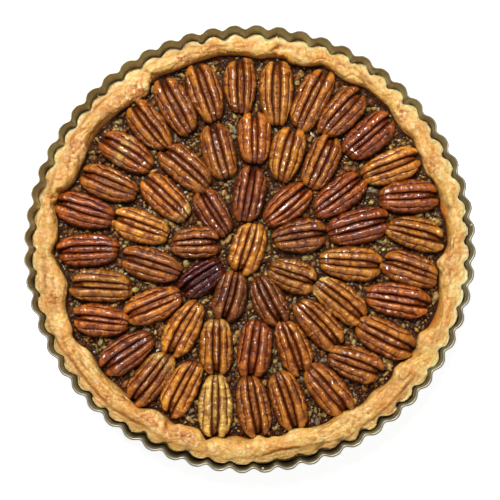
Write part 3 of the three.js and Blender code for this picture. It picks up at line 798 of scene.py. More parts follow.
def crustPaint(rings, bearings, relief, groove, share, sunk):
    # The pastry's own values from 0 to 1: streaks and grooves along the edge, browning by bearing, syrup by
    # height on the inner side. Raised parts are paler as painted highlight; grooves, creases and low parts
    # are browner as painted shade, partly real browning.
    height, far, flat = rings[..., 2], farSide(bearings), unrolled(rings, bearings)
    inside = np.arange(len(rings))[:, None] > len(rings) - crust["slopeRows"] - crust["innerRows"]
    soak = roughness(rings, 6, 2, 41) * 0.8
    # the caramel zone reaches higher on the far side, where the slope lies in shade: painted light
    deep = (1 - smoothStep(17.2, 20.2 + 3.5 * far, height + soak)) * inside
    nearSide = facing(bearings, 270, 0.2, 0.8)
    caramel = deep * (1 - 0.6 * nearSide * smoothStep(17, 19, height))
    # less dark syrup on the far side, where the slope lies in shade: painted light
    syrup = 1 - smoothStep(16.5 - 1.5 * far, 22.0 - 3.8 * far, height + 0.5 * soak)
    pale = smoothStep(0.62, 1.0, share) * (0.3 + bumpSum(crustPaleEdges, bearings)) * ~inside
    pale = pale * (0.75 + 0.5 * roughness(rings, 2.2, 2, 43))
    streaks = roughness(flat, (5.5, 1.5, 2.2), 3, 45)
    grooved = np.clip(groove, 0, 1)
    blister = blisterShare(rings)
    bubbles = roughness(rings, (1.5, 1.5, 2), 2, 61)
    # paler on raised parts: painted highlight, over pale streaks
    clouds = smoothStep(-0.05, 0.75, 0.75 * streaks + 0.35 * roughness(rings, 3.4, 2, 46) + 0.6 * relief)
    # none in the grooves, and paler on the raised blister bubbles: painted highlight
    clouds = clouds * (1 - grooved) + 0.9 * blister * smoothStep(0.1, 0.6, bubbles)
    # painted shade in the troughs between the flutes on the outer ledge
    troughs = smoothStep(0.35, -0.75, fluteWave(bearings)) * smoothStep(0.6, 0.78, share)
    # browner in grooves and low parts: painted shade, partly real browning
    bakeAndShade = 0.75 * grooved + 0.3 * smoothStep(0.1, 0.8, roughness(flat, (11, 2.6, 4), 3, 47) - 0.5 * relief)
    bakeAndShade = bakeAndShade + troughs * bumpSum(crustTroughs, bearings)
    # darker around some bearings
    bakeAndShade = bakeAndShade + bumpSum(crustDarkening, bearings) * smoothStep(0.25, 0.5, share)
    # browner between the blister bubbles: painted shade
    bakeAndShade = bakeAndShade + 0.7 * blister * smoothStep(0, 0.6, -bubbles)
    # olive-brown: painted shade on the sunk ledge and the outer ledge, and a tint low on the near side's
    # inner slope
    olive = 0.6 * sunk + 0.55 * facing(bearings, 270, -0.3, 0.4) * deep
    olive = olive + bumpSum(crustLedgeShade, bearings) * smoothStep(0.5, 0.8, share) * (0.8 + 0.6 * streaks)
    return {"caramel": caramel, "pale": pale, "clouds": 0.42 * clouds, "bakeAndShade": bakeAndShade, "olive": olive,
            "syrup": syrup, "blister": blister}


def makeCrust():
    # The section's rows, each point moved by its relief along its normal, closed below and at the floor.
    bearings = np.arange(crust["around"]) * 360 / crust["around"]
    rings = crustRings(bearings)
    relief, groove, share, sunk = crustRelief(rings, bearings)
    rings = rings + ringNormals(rings) * relief[..., None]
    values = crustPaint(rings, bearings, relief, groove, share, sunk)
    attributes = {label: np.append(np.clip(part, 0, 1).ravel(), [0, 0]) for label, part in values.items()}
    solid = ringSolid(rings, (0, 0, crust["underside"]), (0, 0, crust["floorHeight"]))
    makePiece("pastryCrust", *solid, attributes, crustMaterial(), "pastry", ["crust"])
    print("crust made")
    return rings


crustPoints = makeCrust()

pecan = {
    "seed": 7000,
    "slimming": 0.95,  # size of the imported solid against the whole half
    "foot": 16.8,
    "height": 8.0,
    "edgeHeight": 2.7,
    "pivot": 3.0,
    "underside": ((0.985, 1.5), (0.94, 0.6), (0.86, 0.1)),  # share of the outline, height
    "cells": (7, 3, 14, 11),  # columns of a side: middle ridge, groove, main lobe, side lobe
    "alongSteps": 96,
    "ridgeShare": 0.18,
    "grooveShare": 0.23,
    "furrowShare": 0.66,
    "bluntness": 3.0,
    "grooveDepth": 2.5,
    "furrowDepth": 1.7,
    "ridgeDrop": 1.0,
    "splitDrop": 2.4,  # how much deeper the middle ridge lies at the split end
    "splitBack": (2.7, 3.1, 0.2, 0.9),  # how far each segment ends short of the tip, split end
    "splitInner": (0.0, 0.0, 1.9, 0.6),  # and how much farther at its inner and outer edges
    "splitOuter": (0.4, 0.0, 1.3, 1.0),
    "closedBack": (0.5, 0.9, 0.2, 0.6),
    "closedInner": (0.0, 0.0, 0.8, 0.5),
    "closedOuter": (0.4, 0.0, 0.6, 1.0),
    "wrinkle": 0.5,
    "pits": 0.8,
    "dents": 0.4,
    "roll": 5.0,  # degrees either way
    "pitch": 2.5,
    "brown": (165, 86, 20),
    "golden": (181, 102, 26),
    "amber": (196, 113, 32),
    "palest": (212, 150, 70),
    "bare": (206, 158, 84),
    "reddish": (154, 77, 18),
    "darkRed": (132, 64, 18),
    "deepRed": (92, 32, 10),
    "dull": (144, 75, 22),
    "lighter": (303, 346, 350),  # these four multiply a half's own colour
    "darker": (198, 178, 152),
    # these two multiply in painted shade in furrows and grooves
    "furrow": (144, 114, 132),
    "groove": (104, 78, 92),
    "redTurn": (0.2, -0.38, -0.55),  # share of red, green and blue that a fully redder half gains
}
pecanTones = {
    "golden": (1, 7, 12, 16, 32, 33, 36, 39, 41, 45, 46, 55),
    "amber": (3, 20, 37, 40, 56),
    "palest": (21,),
    "reddish": (2, 5, 10, 14, 15, 29, 30, 38, 42, 47, 51),
    "darkRed": (4, 49, 50, 53, 54),
    "deepRed": (52,),
    "dull": (18,),
}
# How much paler or darker than its tone a half is.
pecanGains = {
    3: 1.06, 4: 1.18, 5: 1.08, 6: 1.09, 12: 0.74, 15: 0.92, 16: 0.85, 18: 0.93, 20: 1.07, 24: 1.06,
    26: 1.12, 29: 0.74, 30: 0.85, 32: 1.07, 33: 0.88, 34: 0.92, 35: 0.93, 36: 0.92, 37: 1.05, 40: 1.07,
    43: 1.1, 47: 0.9, 48: 0.94, 52: 0.6, 55: 0.82,
}
# Which halves are redder than their tone, and how much.
pecanRedness = {
    2: 0.35, 4: 0.4, 12: 0.5, 14: 0.35, 15: 0.45, 17: 0.35, 18: 0.5, 27: 0.35, 29: 0.55, 30: 0.55,
    33: 0.4, 36: 0.25, 39: 0.3, 42: 0.3, 48: 0.4, 49: 0.3, 50: 0.3, 52: 1.6,
}
# Pale patches: along the half, from -1 at its closed end to 1.
palePatches = {1: 0.95, 12: 0.1, 19: -0.7, 36: -0.85, 41: -0.8, 45: -0.85}


def nodePoints(node):
    # A solid's points in millimetres.
    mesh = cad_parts[node].data
    points = np.empty(len(mesh.vertices) * 3, np.float32)
    mesh.vertices.foreach_get("co", points)
    return points.reshape(-1, 3).astype(float) * 1000


def pecanPlace(node):
    # Centre, heading of the split end, half length and half width: the solid's tips are its farthest two
    # points in plan, and the split end is the wider one.
    flat = nodePoints(node)[:, :2]
    gaps = np.linalg.norm(flat[:, None] - flat[None], axis=-1)
    first, second = np.unravel_index(gaps.argmax(), gaps.shape)
    centre = (flat[first] + flat[second]) / 2
    halfLength = gaps.max() / 2
    heading = (flat[second] - flat[first]) / gaps.max()
    along, across = alongAcross(flat - centre, heading)
    along, across = along / halfLength, np.abs(across)
    if across[along > 0.7].max() < across[along < -0.7].max():
        heading = -heading
    return centre, heading, halfLength / pecan["slimming"], across.max() / pecan["slimming"]


def pecanCells():
    # Columns of one side, from the middle out: the segment that each is in and its place q in it, -1 to 1.
    parts = [np.sin(np.linspace(0, 1, pecan["cells"][0] + 1) * math.pi / 2)]
    parts += [-np.cos(np.linspace(0, 1, cells + 1) * math.pi)[1:] for cells in pecan["cells"][1:]]
    return np.repeat(np.arange(4), [len(part) for part in parts]), np.concatenate(parts)


def pecanBack(end, segment, q):
    # How far one end's segments stop short of the tip, more towards their edges.
    back, inner, outer = [np.array(pecan[end + part])[segment] for part in ("Back", "Inner", "Outer")]
    return back + np.where(q < 0, inner, outer) * rounding(q, 3)


def pecanSide(u, side, seed, draw):
    # One side's lines: their share v of the half's width, how deep they lie under the dome, how much
    # painted shade they take, how far they end short of the tip and how much of the wrinkles they take.
    segment, q = pecanCells()
    wander = roughness(np.stack([u * 2.4, 0 * u + side * 3.1, 0 * u + 0.5], -1), 1, 2, seed)
    quick = roughness(np.stack([u * 7.0, 0 * u + side * 5.3, 0 * u + 0.5], -1), 1, 2, seed + 3)
    closed, split = smoothStep(0.45, 1.0, -u), smoothStep(0.2, 1.0, u)
    ridge = pecan["ridgeShare"] * draw.uniform(0.8, 1.2) * (1 + 0.12 * wander + 0.08 * quick)
    ridge = ridge * (1 - 0.4 * split)
    width = (pecan["grooveShare"] - pecan["ridgeShare"]) * draw.uniform(0.6, 1.3)
    groove = ridge + width * (1 + 0.3 * quick) * (1 - 0.7 * closed) * (1 + 0.9 * split)
    furrow = pecan["furrowShare"] + draw.uniform(-0.06, 0.05) + 0.035 * wander + 0.025 * quick
    furrow = furrow + 0.13 * split + 0.06 * closed
    lines = np.stack([0 * u, ridge, groove, furrow, 0 * u + 1])
    low, high = lines[segment, :, 0].T, lines[segment + 1, :, 0].T
    v = np.where(segment == 0, high * q, low + (high - low) * (q + 1) / 2)
    grooveDip = pecan["grooveDepth"] * draw.uniform(0.85, 1.15) * (1 - 0.75 * closed)
    fade = 1 - smoothStep(0.6, 0.98, np.abs(u + draw.uniform(-0.15, 0.15)))
    furrowDip = pecan["furrowDepth"] * draw.uniform(0.6, 1.2) * fade
    furrowDip = furrowDip * np.clip(1 + 0.5 * wander + 0.5 * quick, 0.2, 2)
    ridgeDip = pecan["ridgeDrop"] * draw.uniform(0.5, 1.6)
    ridgeDip = ridgeDip + pecan["splitDrop"] * smoothStep(0.45, 1.0, u) * draw.uniform(0.5, 1.1)
    rounded = rounding(q, 1.9)
    ridgeLine = ridgeDip + np.maximum(grooveDip - ridgeDip, 0) * rounded
    mainLine = np.where(q < 0, grooveDip, furrowDip) * rounded
    sideLine = np.where(q < 0, furrowDip, 0 * u) * rounded
    here = [segment == 0, segment == 1, segment == 2]
    dip = np.select(here, [ridgeLine, grooveDip + 0.5 * (1 - q * q), mainLine], sideLine)
    ridgeShade = 0.25 + 0.65 * rounded + 0.35 * split
    mainShade = np.where(q < 0, 0.9, 0.75 * fade) * rounded
    sideShade = np.where(q < 0, 0.75 * fade * rounded, 0.45 * np.abs(q)) + 0.14
    shade = np.select(here, [ridgeShade, 1 + 0 * v, mainShade], sideShade)
    splitBack = pecanBack("split", segment, q) * draw.uniform(0.75, 1.25)
    setBack = np.where(u < 0, -pecanBack("closed", segment, q), splitBack) * smoothStep(0.5, 1, np.abs(u))
    lively = np.select([segment == 1, segment == 3], [0, 1.35], 0.8)
    return v, dip, np.clip(shade, 0, 1), setBack, lively * (1 - q**6) + 0 * u


def pecanSheet(halfLength, halfWidth, draw):
    # Lobes side by side under a dome, their creases dipping between them, on lines that draw together at
    # both ends.
    u = np.sin(np.linspace(-1, 1, pecan["alongSteps"]) * math.pi / 2)[:, None]
    seed = int(draw.integers(1, 10**6))
    left, right = (pecanSide(u, side, seed, draw) for side in (-1, 1))
    sides = [np.concatenate([one[:, :0:-1], other], 1) for one, other in zip(left, right)]
    v, dip, shade, setBack, full = sides
    v[:, :left[0].shape[1] - 1] *= -1
    n, body, edge = pecan["bluntness"], pecan["height"] - pecan["edgeHeight"], pecan["edgeHeight"]
    lean = draw.uniform(-0.12, 0.12)  # one side stands a little higher
    arch = 1 - 0.24 * np.abs(u) ** 3.5
    fall = (1 - np.abs(u) ** 7) ** 0.5
    dome = (1 - np.abs(v) ** 2.6) ** 0.55
    z = edge + (body * arch * dome * (1 + lean * v) - dip * np.minimum(1, 1.15 * dome)) * fall
    narrow = 1 - draw.uniform(0.04, 0.2) * smoothStep(0.0, 1.0, -u)
    x = halfLength * u * (1 - np.abs(v) ** n / 2) ** (1 / n) - setBack
    y = halfWidth * v * (1 - np.abs(u) ** n / 2) ** (1 / n) * narrow
    uneven = draw.uniform(-0.9, 0.9) * np.sign(v) * smoothStep(0.1, 0.3, np.abs(v))
    x = x + np.sign(u) * smoothStep(0.75, 1, np.abs(u)) * uneven
    points = np.stack([x, y, z], -1)
    solid = np.minimum(1, 1.3 * dome) * fall
    apart = points + seed % 977 + 9.7 * np.round(v * 2)[..., None]
    wrinkle = roughness(apart, (1.1, 2.4, 3), 2, seed) * full
    pits = np.maximum(roughness(points + seed % 457, (1.3, 1.8, 3), 1, seed + 7) - 0.35, 0) * full
    dent = roughness(points + seed % 733, (6, 4, 5), 1, seed + 5)
    points[..., 2] += (pecan["wrinkle"] * wrinkle - pecan["pits"] * pits + pecan["dents"] * dent) * solid
    outward = np.sign(v) * smoothStep(0.55, 1, np.abs(v))
    points[..., 1] += 0.35 * roughness(points, (2.6, 40, 40), 2, seed + 9) * outward
    points[..., 1] += draw.uniform(-0.7, 0.7) * ((x / halfLength) ** 2 - 0.5)
    # painted shade on the outer sides, where the half falls away
    shade = np.maximum(shade, 0.6 * (1 - dome) ** 1.4)
    # pits darker as painted shade, raised wrinkles lighter as painted highlight
    return points, np.clip(shade + 0.6 * pits * solid - 0.22 * wrinkle, 0, 1)


def pecanColour(number, tone, points, along):
    # The half's tone times its gain, redder by its redness, a little uneven, and bare where it has a patch.
    base = linearColour(pecan[tone]) * pecanGains.get(number, 1)
    base = base * (1 + np.array(pecan["redTurn"]) * pecanRedness.get(number, 0))
    colour = base * (1 + 0.12 * cellNoise(points / 5 + number, 77) + 0.10 * along)[:, None]
    if number in palePatches:
        bare = np.exp(-(((along - palePatches[number]) / 0.2) ** 2))
        bare = bare * (0.45 + 0.4 * cellNoise(points / 2.2, 78))
        colour = colour + (linearColour(pecan["bare"]) - colour) * bare[:, None]
    return np.clip(colour, 0, 1)


def makePecan(number, tone, material):
    # The sheet with its underside, rolled and pitched about the pivot, turned to its heading and moved to
    # its centre.
    node = f"pecan_{number:02d}"
    draw = np.random.default_rng(pecan["seed"] + number)
    centre, heading, halfLength, halfWidth = pecanPlace(node)
    sheet, paintedCreaseShade = pecanSheet(halfLength, halfWidth, draw)
    border = sheet.reshape(-1, 3)[borderOf(*sheet.shape[:2])]
    lower = [border * (share, share, 0) + (0, 0, height) for share, height in pecan["underside"]]
    points, quads, triangles = sheetSolid(sheet, lower, (0, 0, 0))
    roll, pitch = np.radians([draw.uniform(-1, 1) * pecan[kind] for kind in ("roll", "pitch")])
    x, y, z = points.T
    y, z = rotated(y, z - pecan["pivot"], roll)
    x, z = rotated(x, z, pitch)
    z = z + pecan["pivot"]
    east, north = centre[:, None] + x * heading[:, None] + y * np.array([[-heading[1]], [heading[0]]])
    along = x / halfLength
    paintedCreaseShade = np.append(paintedCreaseShade.ravel(), np.full(len(points) - paintedCreaseShade.size, 0.8))
    own = np.stack([x + 60 * number, y, z], -1) / 1000  # each half has its own stretch of the noise
    attributes = {"tone": pecanColour(number, tone, points, along), "paintedCreaseShade": paintedCreaseShade, "place": own}
    place = np.stack([east, north, z + pecan["foot"]], -1)
    makePiece(f"pecanHalf_{number:02d}", place, quads, triangles, attributes, material, "pecan", [node])
    return centre, heading, halfLength, halfWidth


def pecanMaterial():
    # Glazed nut: its own tone made darker and lighter, ribbed, and darker still as painted shade in
    # furrows, grooves, pits and on the outer sides, partly the nut's darker skin there; furrows and grooves
    # have no glaze.
    fixed = {"Coat Roughness": 0.05, "Coat IOR": 1.82, "Specular IOR Level": 0.08,
             "Subsurface Weight": 0.15, "Subsurface Radius": (1, 0.4, 0.15), "Subsurface Scale": 0.0015}
    material = newMaterial("glazedPecan", fixed)
    place = attributeNode(material, "place", "Vector")
    mottle = noiseNode(material, 260, 4, (1, 0.6, 0.6), 0.5, place)
    ribs = noiseNode(material, 1000, 3, (1, 0.3, 0.3), 0.3, place)
    grain = noiseNode(material, 2600, 2)
    paintedCreaseShade = attributeNode(material, "paintedCreaseShade")
    tone = attributeNode(material, "tone", "Color")
    lighter, darker, furrow, groove = [mixNode(material, 1.0, tone, pecan[kind], "MULTIPLY")
                                       for kind in ("lighter", "darker", "furrow", "groove")]
    drive(material, "Base Color", paintOver(material, darker, [
        (mottle, lighter, 0.32, 0.66),
        (ribs, furrow, 0.5, 0.75, (0, 0.4)),
        (paintedCreaseShade, furrow, 0.08, 0.6, (0, 0.85)),
        (paintedCreaseShade, groove, 0.6, 1.0, (0, 0.9)),
    ]))
    drive(material, "Roughness", rangeNode(material, mottle, 0.3, 0.7, (0.34, 0.52)))
    drive(material, "Coat Weight", rangeNode(material, paintedCreaseShade, 0.3, 0.85, (1, 0.05)))
    bump = bumpNode(material, ribs, 0.0005, 0.8, bumpNode(material, mottle, 0.0004, 0.5))
    drive(material, "Normal", bumpNode(material, grain, 0.0001, 0.5, bump))
    drive(material, "Coat Normal", bump)
    return material


def makePecans():
    # Each half with the tone that lists it, brown where none does.
    material = pecanMaterial()
    tones = {number: tone for tone, numbers in pecanTones.items() for number in numbers}
    places = [makePecan(number, tones.get(number, "brown"), material) for number in range(1, 57)]
    print("pecan halves made")
    return [np.array(part) for part in zip(*places)]


halfCentres, halfHeadings, halfLengths, halfWidths = makePecans()

filling = {
    "level": 16.5,
    "edgeLevel": 16.1,
    "farRise": 1.6,  # how much higher the edge lies on the far side
    "edgeWidth": 2.5,
    "lumps": 0.6,
    "meniscus": 0.9,
    "meniscusReach": 0.9,
    "tuck": 0.35,  # how far the glaze runs in under the crust's foot
    "evenRadius": 102.0,  # the grid follows the crust's foot only near its edge
    "floor": 4.6,
    "floorShare": 0.97,
    "steps": 285,
    "syrup": (42, 20, 8),
    "thinSyrup": (112, 60, 20),
    "custard": (136, 98, 48),
}


def pecanDistance(points):
    # Least distance from the halves' outlines in plan, by the superellipse (x/a)^2.5 + (y/b)^2.5 = 1;
    # negative inside.
    nearest = np.full(points.shape[:-1], 1e3)
    for centre, heading, halfLength, halfWidth in zip(halfCentres, halfHeadings, halfLengths, halfWidths):
        along, across = np.abs(alongAcross(points[..., :2] - centre, heading))
        reach = ((along / halfLength) ** 2.5 + (across / halfWidth) ** 2.5) ** 0.4
        nearest = np.minimum(nearest, np.hypot(along, across) * (1 - 1 / np.maximum(reach, 0.05)))
    return nearest


def fillingHeight(points):
    # The glaze's level with lumps, drawn up against the halves, falling at the crust.
    radius, bearings = polarOf(points)
    lumps = filling["lumps"] * roughness(points * (1, 1, 0), 3.2, 2, 51)
    away = np.maximum(pecanDistance(points), 0)
    climb = filling["meniscus"] * np.exp(-away / filling["meniscusReach"])
    edge = crustFootRadius(bearings)
    rim = smoothStep(edge - filling["edgeWidth"], edge, radius)
    level, edgeLevel = filling["level"], filling["edgeLevel"] + filling["farRise"] * farSide(bearings)
    return level + (lumps + climb) * (1 - rim) + (edgeLevel - level) * rim


def fillingMaterial():
    # Dark glossy syrup, thin in places, with bits of custard and a fine relief.
    fixed = {"Coat Weight": 0.3, "Coat Roughness": 0.05, "Roughness": 0.5, "Specular IOR Level": 0.04}
    material = newMaterial("glossyFilling", fixed)
    clouds = noiseNode(material, 300, 4, distortion=0.6)
    bits = noiseNode(material, 800, 3, distortion=0.3)
    drive(material, "Base Color", paintOver(material, filling["syrup"], [
        (clouds, filling["thinSyrup"], 0.45, 0.75, (0, 0.7)),
        (bits, filling["custard"], 0.6, 0.72, (0, 0.7)),
    ]))
    bump = bumpNode(material, bits, 0.0012, 0.9)
    drive(material, "Normal", bump)
    drive(material, "Coat Normal", bumpNode(material, noiseNode(material, 1300, 2), 0.0008, 0.9, bump))
    return material


def makeFilling():
    # A square grid drawn into a disc, x = u sqrt(1 - v^2 / 2), y = v sqrt(1 - u^2 / 2), and out to the
    # crust's foot.
    u = np.linspace(-1, 1, filling["steps"])[:, None]
    v = u.T
    disc = np.stack([u * np.sqrt(1 - v * v / 2), v * np.sqrt(1 - u * u / 2), 0 * u * v], -1)
    radius, bearings = polarOf(disc)
    even, floor = filling["evenRadius"], filling["floor"]
    grid = disc * (even + (crustFootRadius(bearings) + filling["tuck"] - even) * radius**8)[..., None]
    grid[..., 2] = fillingHeight(grid)
    border = grid.reshape(-1, 3)[borderOf(*radius.shape)]
    lower = border * (filling["floorShare"], filling["floorShare"], 0) + (0, 0, floor)
    solid = sheetSolid(grid, [lower], (0, 0, floor))
    makePiece("nutFilling", *solid, {}, fillingMaterial(), "glazed_filling", ["filling"])
    print("filling made")


makeFilling()

chips = {
    "seed": 310,
    "tries": 9800,
    "reach": 106.0,
    "shake": 0.7,
    "clearance": (-0.2, 0.3),  # from a half's outline: in all, and by a chip's size
    "smallest": 0.5,
    "largest": 2.3,
    "sizePower": 2.2,
    "largestWhite": 1.25,  # a white one larger than this is olive
    "around": 7,
    "levels": 3,
    "planes": 8,
    "planeReach": (0.45, 1.0),
    "stretch": ((0.9, 1.5), (0.6, 1.0), (0.45, 0.8)),
    "tilt": 0.6,
    "lift": (-0.15, 0.4),  # by a chip's size
    "shades": (0.7, 1.25),
    "olive": (160, 136, 78),
    "tan": (188, 140, 76),
    "grey": (142, 126, 98),
    "brown": (132, 78, 32),
    "dark": (74, 38, 14),
    # white bits: partly pale nut flesh, partly painted glints on the glaze
    "white": (222, 210, 182),
    "yellow": (196, 168, 92),
    "mottle": (70, 40, 14),
    "odds": (0.17, 0.18, 0.10, 0.24, 0.22, 0.05, 0.04),
}
chipColours = ("olive", "tan", "grey", "brown", "dark", "white", "yellow")
# Larger bits: x, y, half length, colour; the white ones are painted glints on the glaze.
largeChips = [
    (102.3, 13.4, 2.4, "olive"), (99.0, 15.6, 1.0, "white"), (75.4, 69.6, 2.6, "olive"),
    (71.2, 76.5, 1.0, "white"), (66.5, 76.5, 1.3, "olive"), (53.5, 88.8, 1.5, "yellow"),
    (82.7, 58.8, 1.3, "tan"), (66.5, 24.5, 1.7, "yellow"), (63.1, 23.4, 1.2, "white"),
    (34.6, 62.6, 1.2, "white"), (52.7, 43.4, 1.4, "grey"), (74.2, 2.6, 1.5, "yellow"),
    (-63.4, 79.2, 1.4, "tan"), (-73.4, 67.2, 1.4, "olive"), (-18, 33.4, 1.3, "yellow"),
    (-12.6, 28.8, 1.2, "olive"), (-34.9, 30.3, 1.1, "white"), (-30.3, 57.2, 1.5, "olive"),
    (-39.5, 10.3, 1.3, "grey"), (-100.3, 8.8, 1.6, "brown"), (-12.6, 2.6, 1.0, "white"),
    (-54.9, 20.3, 1.1, "white"), (-47.2, -1.5, 0.9, "white"), (-60.3, -20.8, 1.4, "brown"),
    (-51.1, -46.2, 1.4, "yellow"), (-97.2, -23.5, 1.6, "grey"), (0.5, -32, 1.1, "white"),
    (-5.7, -45.8, 1.4, "olive"), (-33.4, -92.3, 2.4, "olive"), (-67.6, -74.6, 1.6, "brown"),
    (-24.9, -30.4, 1.3, "olive"), (35, -9.6, 1.0, "white"), (72.7, -1.9, 1.4, "tan"),
    (98.8, -23.5, 1.5, "tan"), (61.9, -77.3, 2.3, "brown"), (56.5, -80.4, 1.4, "grey"),
    (73.2, -61.6, 1.8, "tan"), (75.6, -65.0, 1.8, "tan"), (36.4, -94.2, 2.3, "grey"),
    (84.5, 57.6, 1.6, "yellow"),
]


def chopShapes(count, draw):
    # Unit chips: directions of a small ball, each drawn in to the nearest of eight random cutting planes.
    tilt = np.linspace(-1, 1, chips["levels"] + 2)[1:-1] * 0.9
    turn = np.arange(chips["around"]) * 2 * math.pi / chips["around"]
    level, angle = np.meshgrid(tilt, turn, indexing="ij")
    flat = np.sqrt(1 - level**2)
    ball = np.stack([flat * np.cos(angle), flat * np.sin(angle), level], -1).reshape(-1, 3)
    ball = np.concatenate([ball, [(0, 0, -1), (0, 0, 1)]])
    planes = draw.normal(size=(count, chips["planes"], 3))
    planes /= np.linalg.norm(planes, axis=-1, keepdims=True)
    depth = draw.uniform(*chips["planeReach"], (count, chips["planes"]))
    cosine = np.einsum("vk,cpk->cvp", ball, planes)
    reach = np.where(cosine > 0.05, depth[:, None] / np.maximum(cosine, 0.05), 9).min(-1)
    return ball[None] * np.minimum(reach, 1.15)[..., None]


def turned(points, turn, tilt):
    # Each chip's points tilted about X, then turned about Z.
    x, y, z = np.moveaxis(points, -1, 0)
    y, z = rotated(y, z, tilt)
    x, y = rotated(x, y, turn)
    return np.stack([x, y, z], -1)


def chipSolids(shapes, centres):
    # Each chip's points moved to its centre; one chip's faces repeated for every chip.
    step = (np.arange(len(centres)) * shapes.shape[1])[:, None, None]
    quads, fans = ringFaces(chips["levels"], chips["around"])
    points = (shapes + centres[:, None]).reshape(-1, 3)
    return points, (quads + step).reshape(-1, 4), (fans + step).reshape(-1, 3)


def chipMaterial():
    # The chip's own tone, mottled.
    fixed = {"Coat Weight": 0.3, "Coat Roughness": 0.1, "Roughness": 0.5, "Specular IOR Level": 0.15}
    material = newMaterial("choppedPecan", fixed)
    mottle = noiseNode(material, 700, 4)
    coats = [(mottle, chips["mottle"], 0.38, 0.68, (0, 0.75))]
    drive(material, "Base Color", paintOver(material, attributeNode(material, "tone", "Color"), coats))
    drive(material, "Normal", bumpNode(material, mottle, 0.0004, 0.6))
    return material


def chipSpots(draw):
    # Places along a sunflower spiral, shaken, kept where they clear the halves and the crust, then the
    # larger bits.
    tries, shake = chips["tries"], chips["shake"]
    index = np.arange(tries)
    radius = chips["reach"] * np.sqrt((index + 0.5) / tries)
    turn = index * math.pi * (3 - math.sqrt(5))
    spots = np.stack([radius * np.cos(turn), radius * np.sin(turn)], -1)
    spots = spots + draw.uniform(-shake, shake, (tries, 2))
    size = draw.random(tries) ** chips["sizePower"]
    size = chips["smallest"] + (chips["largest"] - chips["smallest"]) * size
    radius, bearings = polarOf(spots)
    least, bySize = chips["clearance"]
    keep = (pecanDistance(spots) > least + bySize * size) & (radius < crustFootRadius(bearings) - size)
    kinds = draw.choice(len(chipColours), tries, p=chips["odds"])
    white, olive = chipColours.index("white"), chipColours.index("olive")
    kinds = np.where((kinds == white) & (size > chips["largestWhite"]), olive, kinds)
    large = [(x, y, length, chipColours.index(kind)) for x, y, length, kind in largeChips]
    rows = np.concatenate([np.column_stack([spots, size, kinds])[keep], large])
    return rows[:, :2], rows[:, 2], rows[:, 3].astype(int)


def makeChips():
    # Chopped shapes, stretched, tilted, turned and set on the filling, each in its own shade of its colour.
    draw = np.random.default_rng(chips["seed"])
    spots, size, kinds = chipSpots(draw)
    count = len(spots)
    stretch = np.stack([draw.uniform(low, high, count) for low, high in chips["stretch"]], -1)
    shapes = chopShapes(count, draw) * (stretch * size[:, None])[:, None]
    turn = draw.uniform(0, 2 * math.pi, (count, 1))
    shapes = turned(shapes, turn, draw.uniform(-chips["tilt"], chips["tilt"], (count, 1)))
    centres = np.column_stack([spots, 0 * size])
    centres[:, 2] = fillingHeight(centres) + size * draw.uniform(*chips["lift"], count)
    colours = linearColour([chips[kind] for kind in chipColours])[kinds]
    colours = colours * draw.uniform(*chips["shades"], (count, 1))
    tone = np.repeat(np.clip(colours, 0, 1), shapes.shape[1], 0)
    solid = chipSolids(shapes, centres)
    makePiece("choppedNuts", *solid, {"tone": tone}, chipMaterial(), "pecan", ["filling"])
    print("chopped nuts made:", count)


makeChips()

crumb = {
    "seed": 77,
    "scattered": 90,
    "smallest": 0.2,
    "largest": 0.55,
    "scatteredSides": (1, 0.8, 0.5),  # half length, width and height by the size
    "rimSides": (1, 0.7, 0.5),
    "flake": (1.7, 0.55, 0.25),
    "flakeHeight": 23.0,
    "tilt": 0.4,
    "pale": (246, 218, 156),
    "baked": (200, 132, 60),
}
# Crumbs on the tin's rim: bearing, radius, height, half length. Flakes at the crust's edge: bearing and
# radius.
rimCrumbs = [(273.3, 119.2, 30.2, 0.75), (4.9, 119.6, 30.2, 0.7), (276.4, 117.6, 26.5, 0.6)]
edgeFlakes = [(35.1, 117.6), (82.4, 116.6), (124.2, 116.0), (134.8, 117.0), (311.8, 118.4), (350.5, 118)]


def crumbMaterial():
    # Pale crumb with baked patches.
    material = newMaterial("pastryCrumb", {"Roughness": 0.6, "Specular IOR Level": 0.25})
    mottle = noiseNode(material, 900, 3)
    coats = [(mottle, crumb["baked"], 0.4, 0.65, (0, 0.6))]
    drive(material, "Base Color", paintOver(material, crumb["pale"], coats))
    drive(material, "Normal", bumpNode(material, mottle, 0.0003, 0.6))
    return material


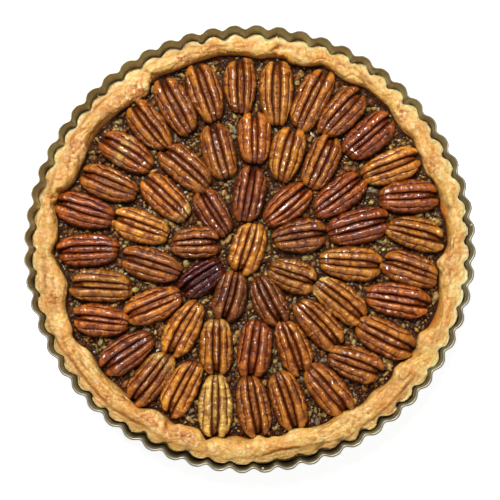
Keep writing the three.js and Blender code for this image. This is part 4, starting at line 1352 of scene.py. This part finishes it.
def makeCrumbs():
    # Small chopped shapes: some on the crust, a few on the rim, and long thin flakes that point out of the
    # crust's edge.
    draw = np.random.default_rng(crumb["seed"])
    count, lowRows = crumb["scattered"], len(crust["wallHeights"]) + 1
    row = draw.integers(lowRows, lowRows + crust["topRows"], count)
    column = draw.integers(0, crust["around"], count)
    size = crumb["smallest"] + (crumb["largest"] - crumb["smallest"]) * draw.random(count) ** 2
    rim, flake = np.array(rimCrumbs), np.array(edgeFlakes)
    onRim = polarPoints(rim[:, 1], rim[:, 0], rim[:, 2])
    atEdge = polarPoints(flake[:, 1], flake[:, 0], crumb["flakeHeight"])
    centres = np.concatenate([crustPoints[row, column], onRim, atEdge])
    sides = [np.outer(size, crumb["scatteredSides"]), np.outer(rim[:, 3], crumb["rimSides"]),
             np.tile(crumb["flake"], (len(flake), 1))]
    turn = draw.uniform(0, 2 * math.pi, len(centres))
    turn[-len(flake):] = np.radians(flake[:, 0])
    shapes = chopShapes(len(centres), draw) * np.concatenate(sides)[:, None]
    tilt = draw.uniform(-crumb["tilt"], crumb["tilt"], (len(centres), 1))
    solid = chipSolids(turned(shapes, turn[:, None], tilt), centres)
    makePiece("pastryCrumbs", *solid, {}, crumbMaterial(), "pastry", ["crust"])
    print("crumbs made")


makeCrumbs()

floorPlate = {
    "radii": (0.1105, 9.0),
    "sides": 96,
    "paint": (254, 254, 254),
    "glow": 0.8,  # a lit table under the tin
}


def makeFloor():
    # A wide flat ring: a circle times two radii. The tin covers its hole, so they never lie in one plane.
    turn = np.arange(floorPlate["sides"]) * 2 * math.pi / floorPlate["sides"]
    circle = np.stack([np.cos(turn), np.sin(turn), 0 * turn], -1)
    points = np.concatenate([circle * reach for reach in floorPlate["radii"]])
    mesh = bpy.data.meshes.new("floor")
    mesh.from_pydata(points.tolist(), [], gridQuads(2, len(turn), True)[:, ::-1].tolist())
    paint = (*linearColour(floorPlate["paint"]), 1)
    glow = {"Emission Color": (1, 1, 1, 1), "Emission Strength": floorPlate["glow"]}
    mesh.materials.append(newMaterial("floorPaint", {"Roughness": 0.9, "Base Color": paint, **glow}))
    floor = newObject("floor", mesh)
    print("floor made")


makeFloor()

# Place in metres, size and power.
lamps = {
    "softbox": ((-0.23, 0.66, 1.44), 0.75, 16.0),
    "spark": ((-0.31, 0.70, 1.48), 0.13, 15.0),
    "fill": ((0.35, -0.85, 1.0), 2.4, 3.4),
}
skyStrength = 0.1


def makeLamps():
    # Round area lamps that face the origin.
    for name, (place, size, power) in lamps.items():
        data = bpy.data.lights.new(name, "AREA")
        data.shape = "DISK"
        data.size = size
        data.energy = power
        aimAt(newObject(name, data), place, (0, 0, 0))


def makeSky():
    # The same white from every side.
    world = bpy.data.worlds.new("softSky")
    world.use_nodes = True
    background = world.node_tree.nodes["Background"]
    background.inputs["Color"].default_value = (1, 1, 1, 1)
    background.inputs["Strength"].default_value = skyStrength
    bpy.context.scene.world = world


makeLamps()
makeSky()
bpy.context.scene.view_settings.view_transform = "Standard"
print("light made")
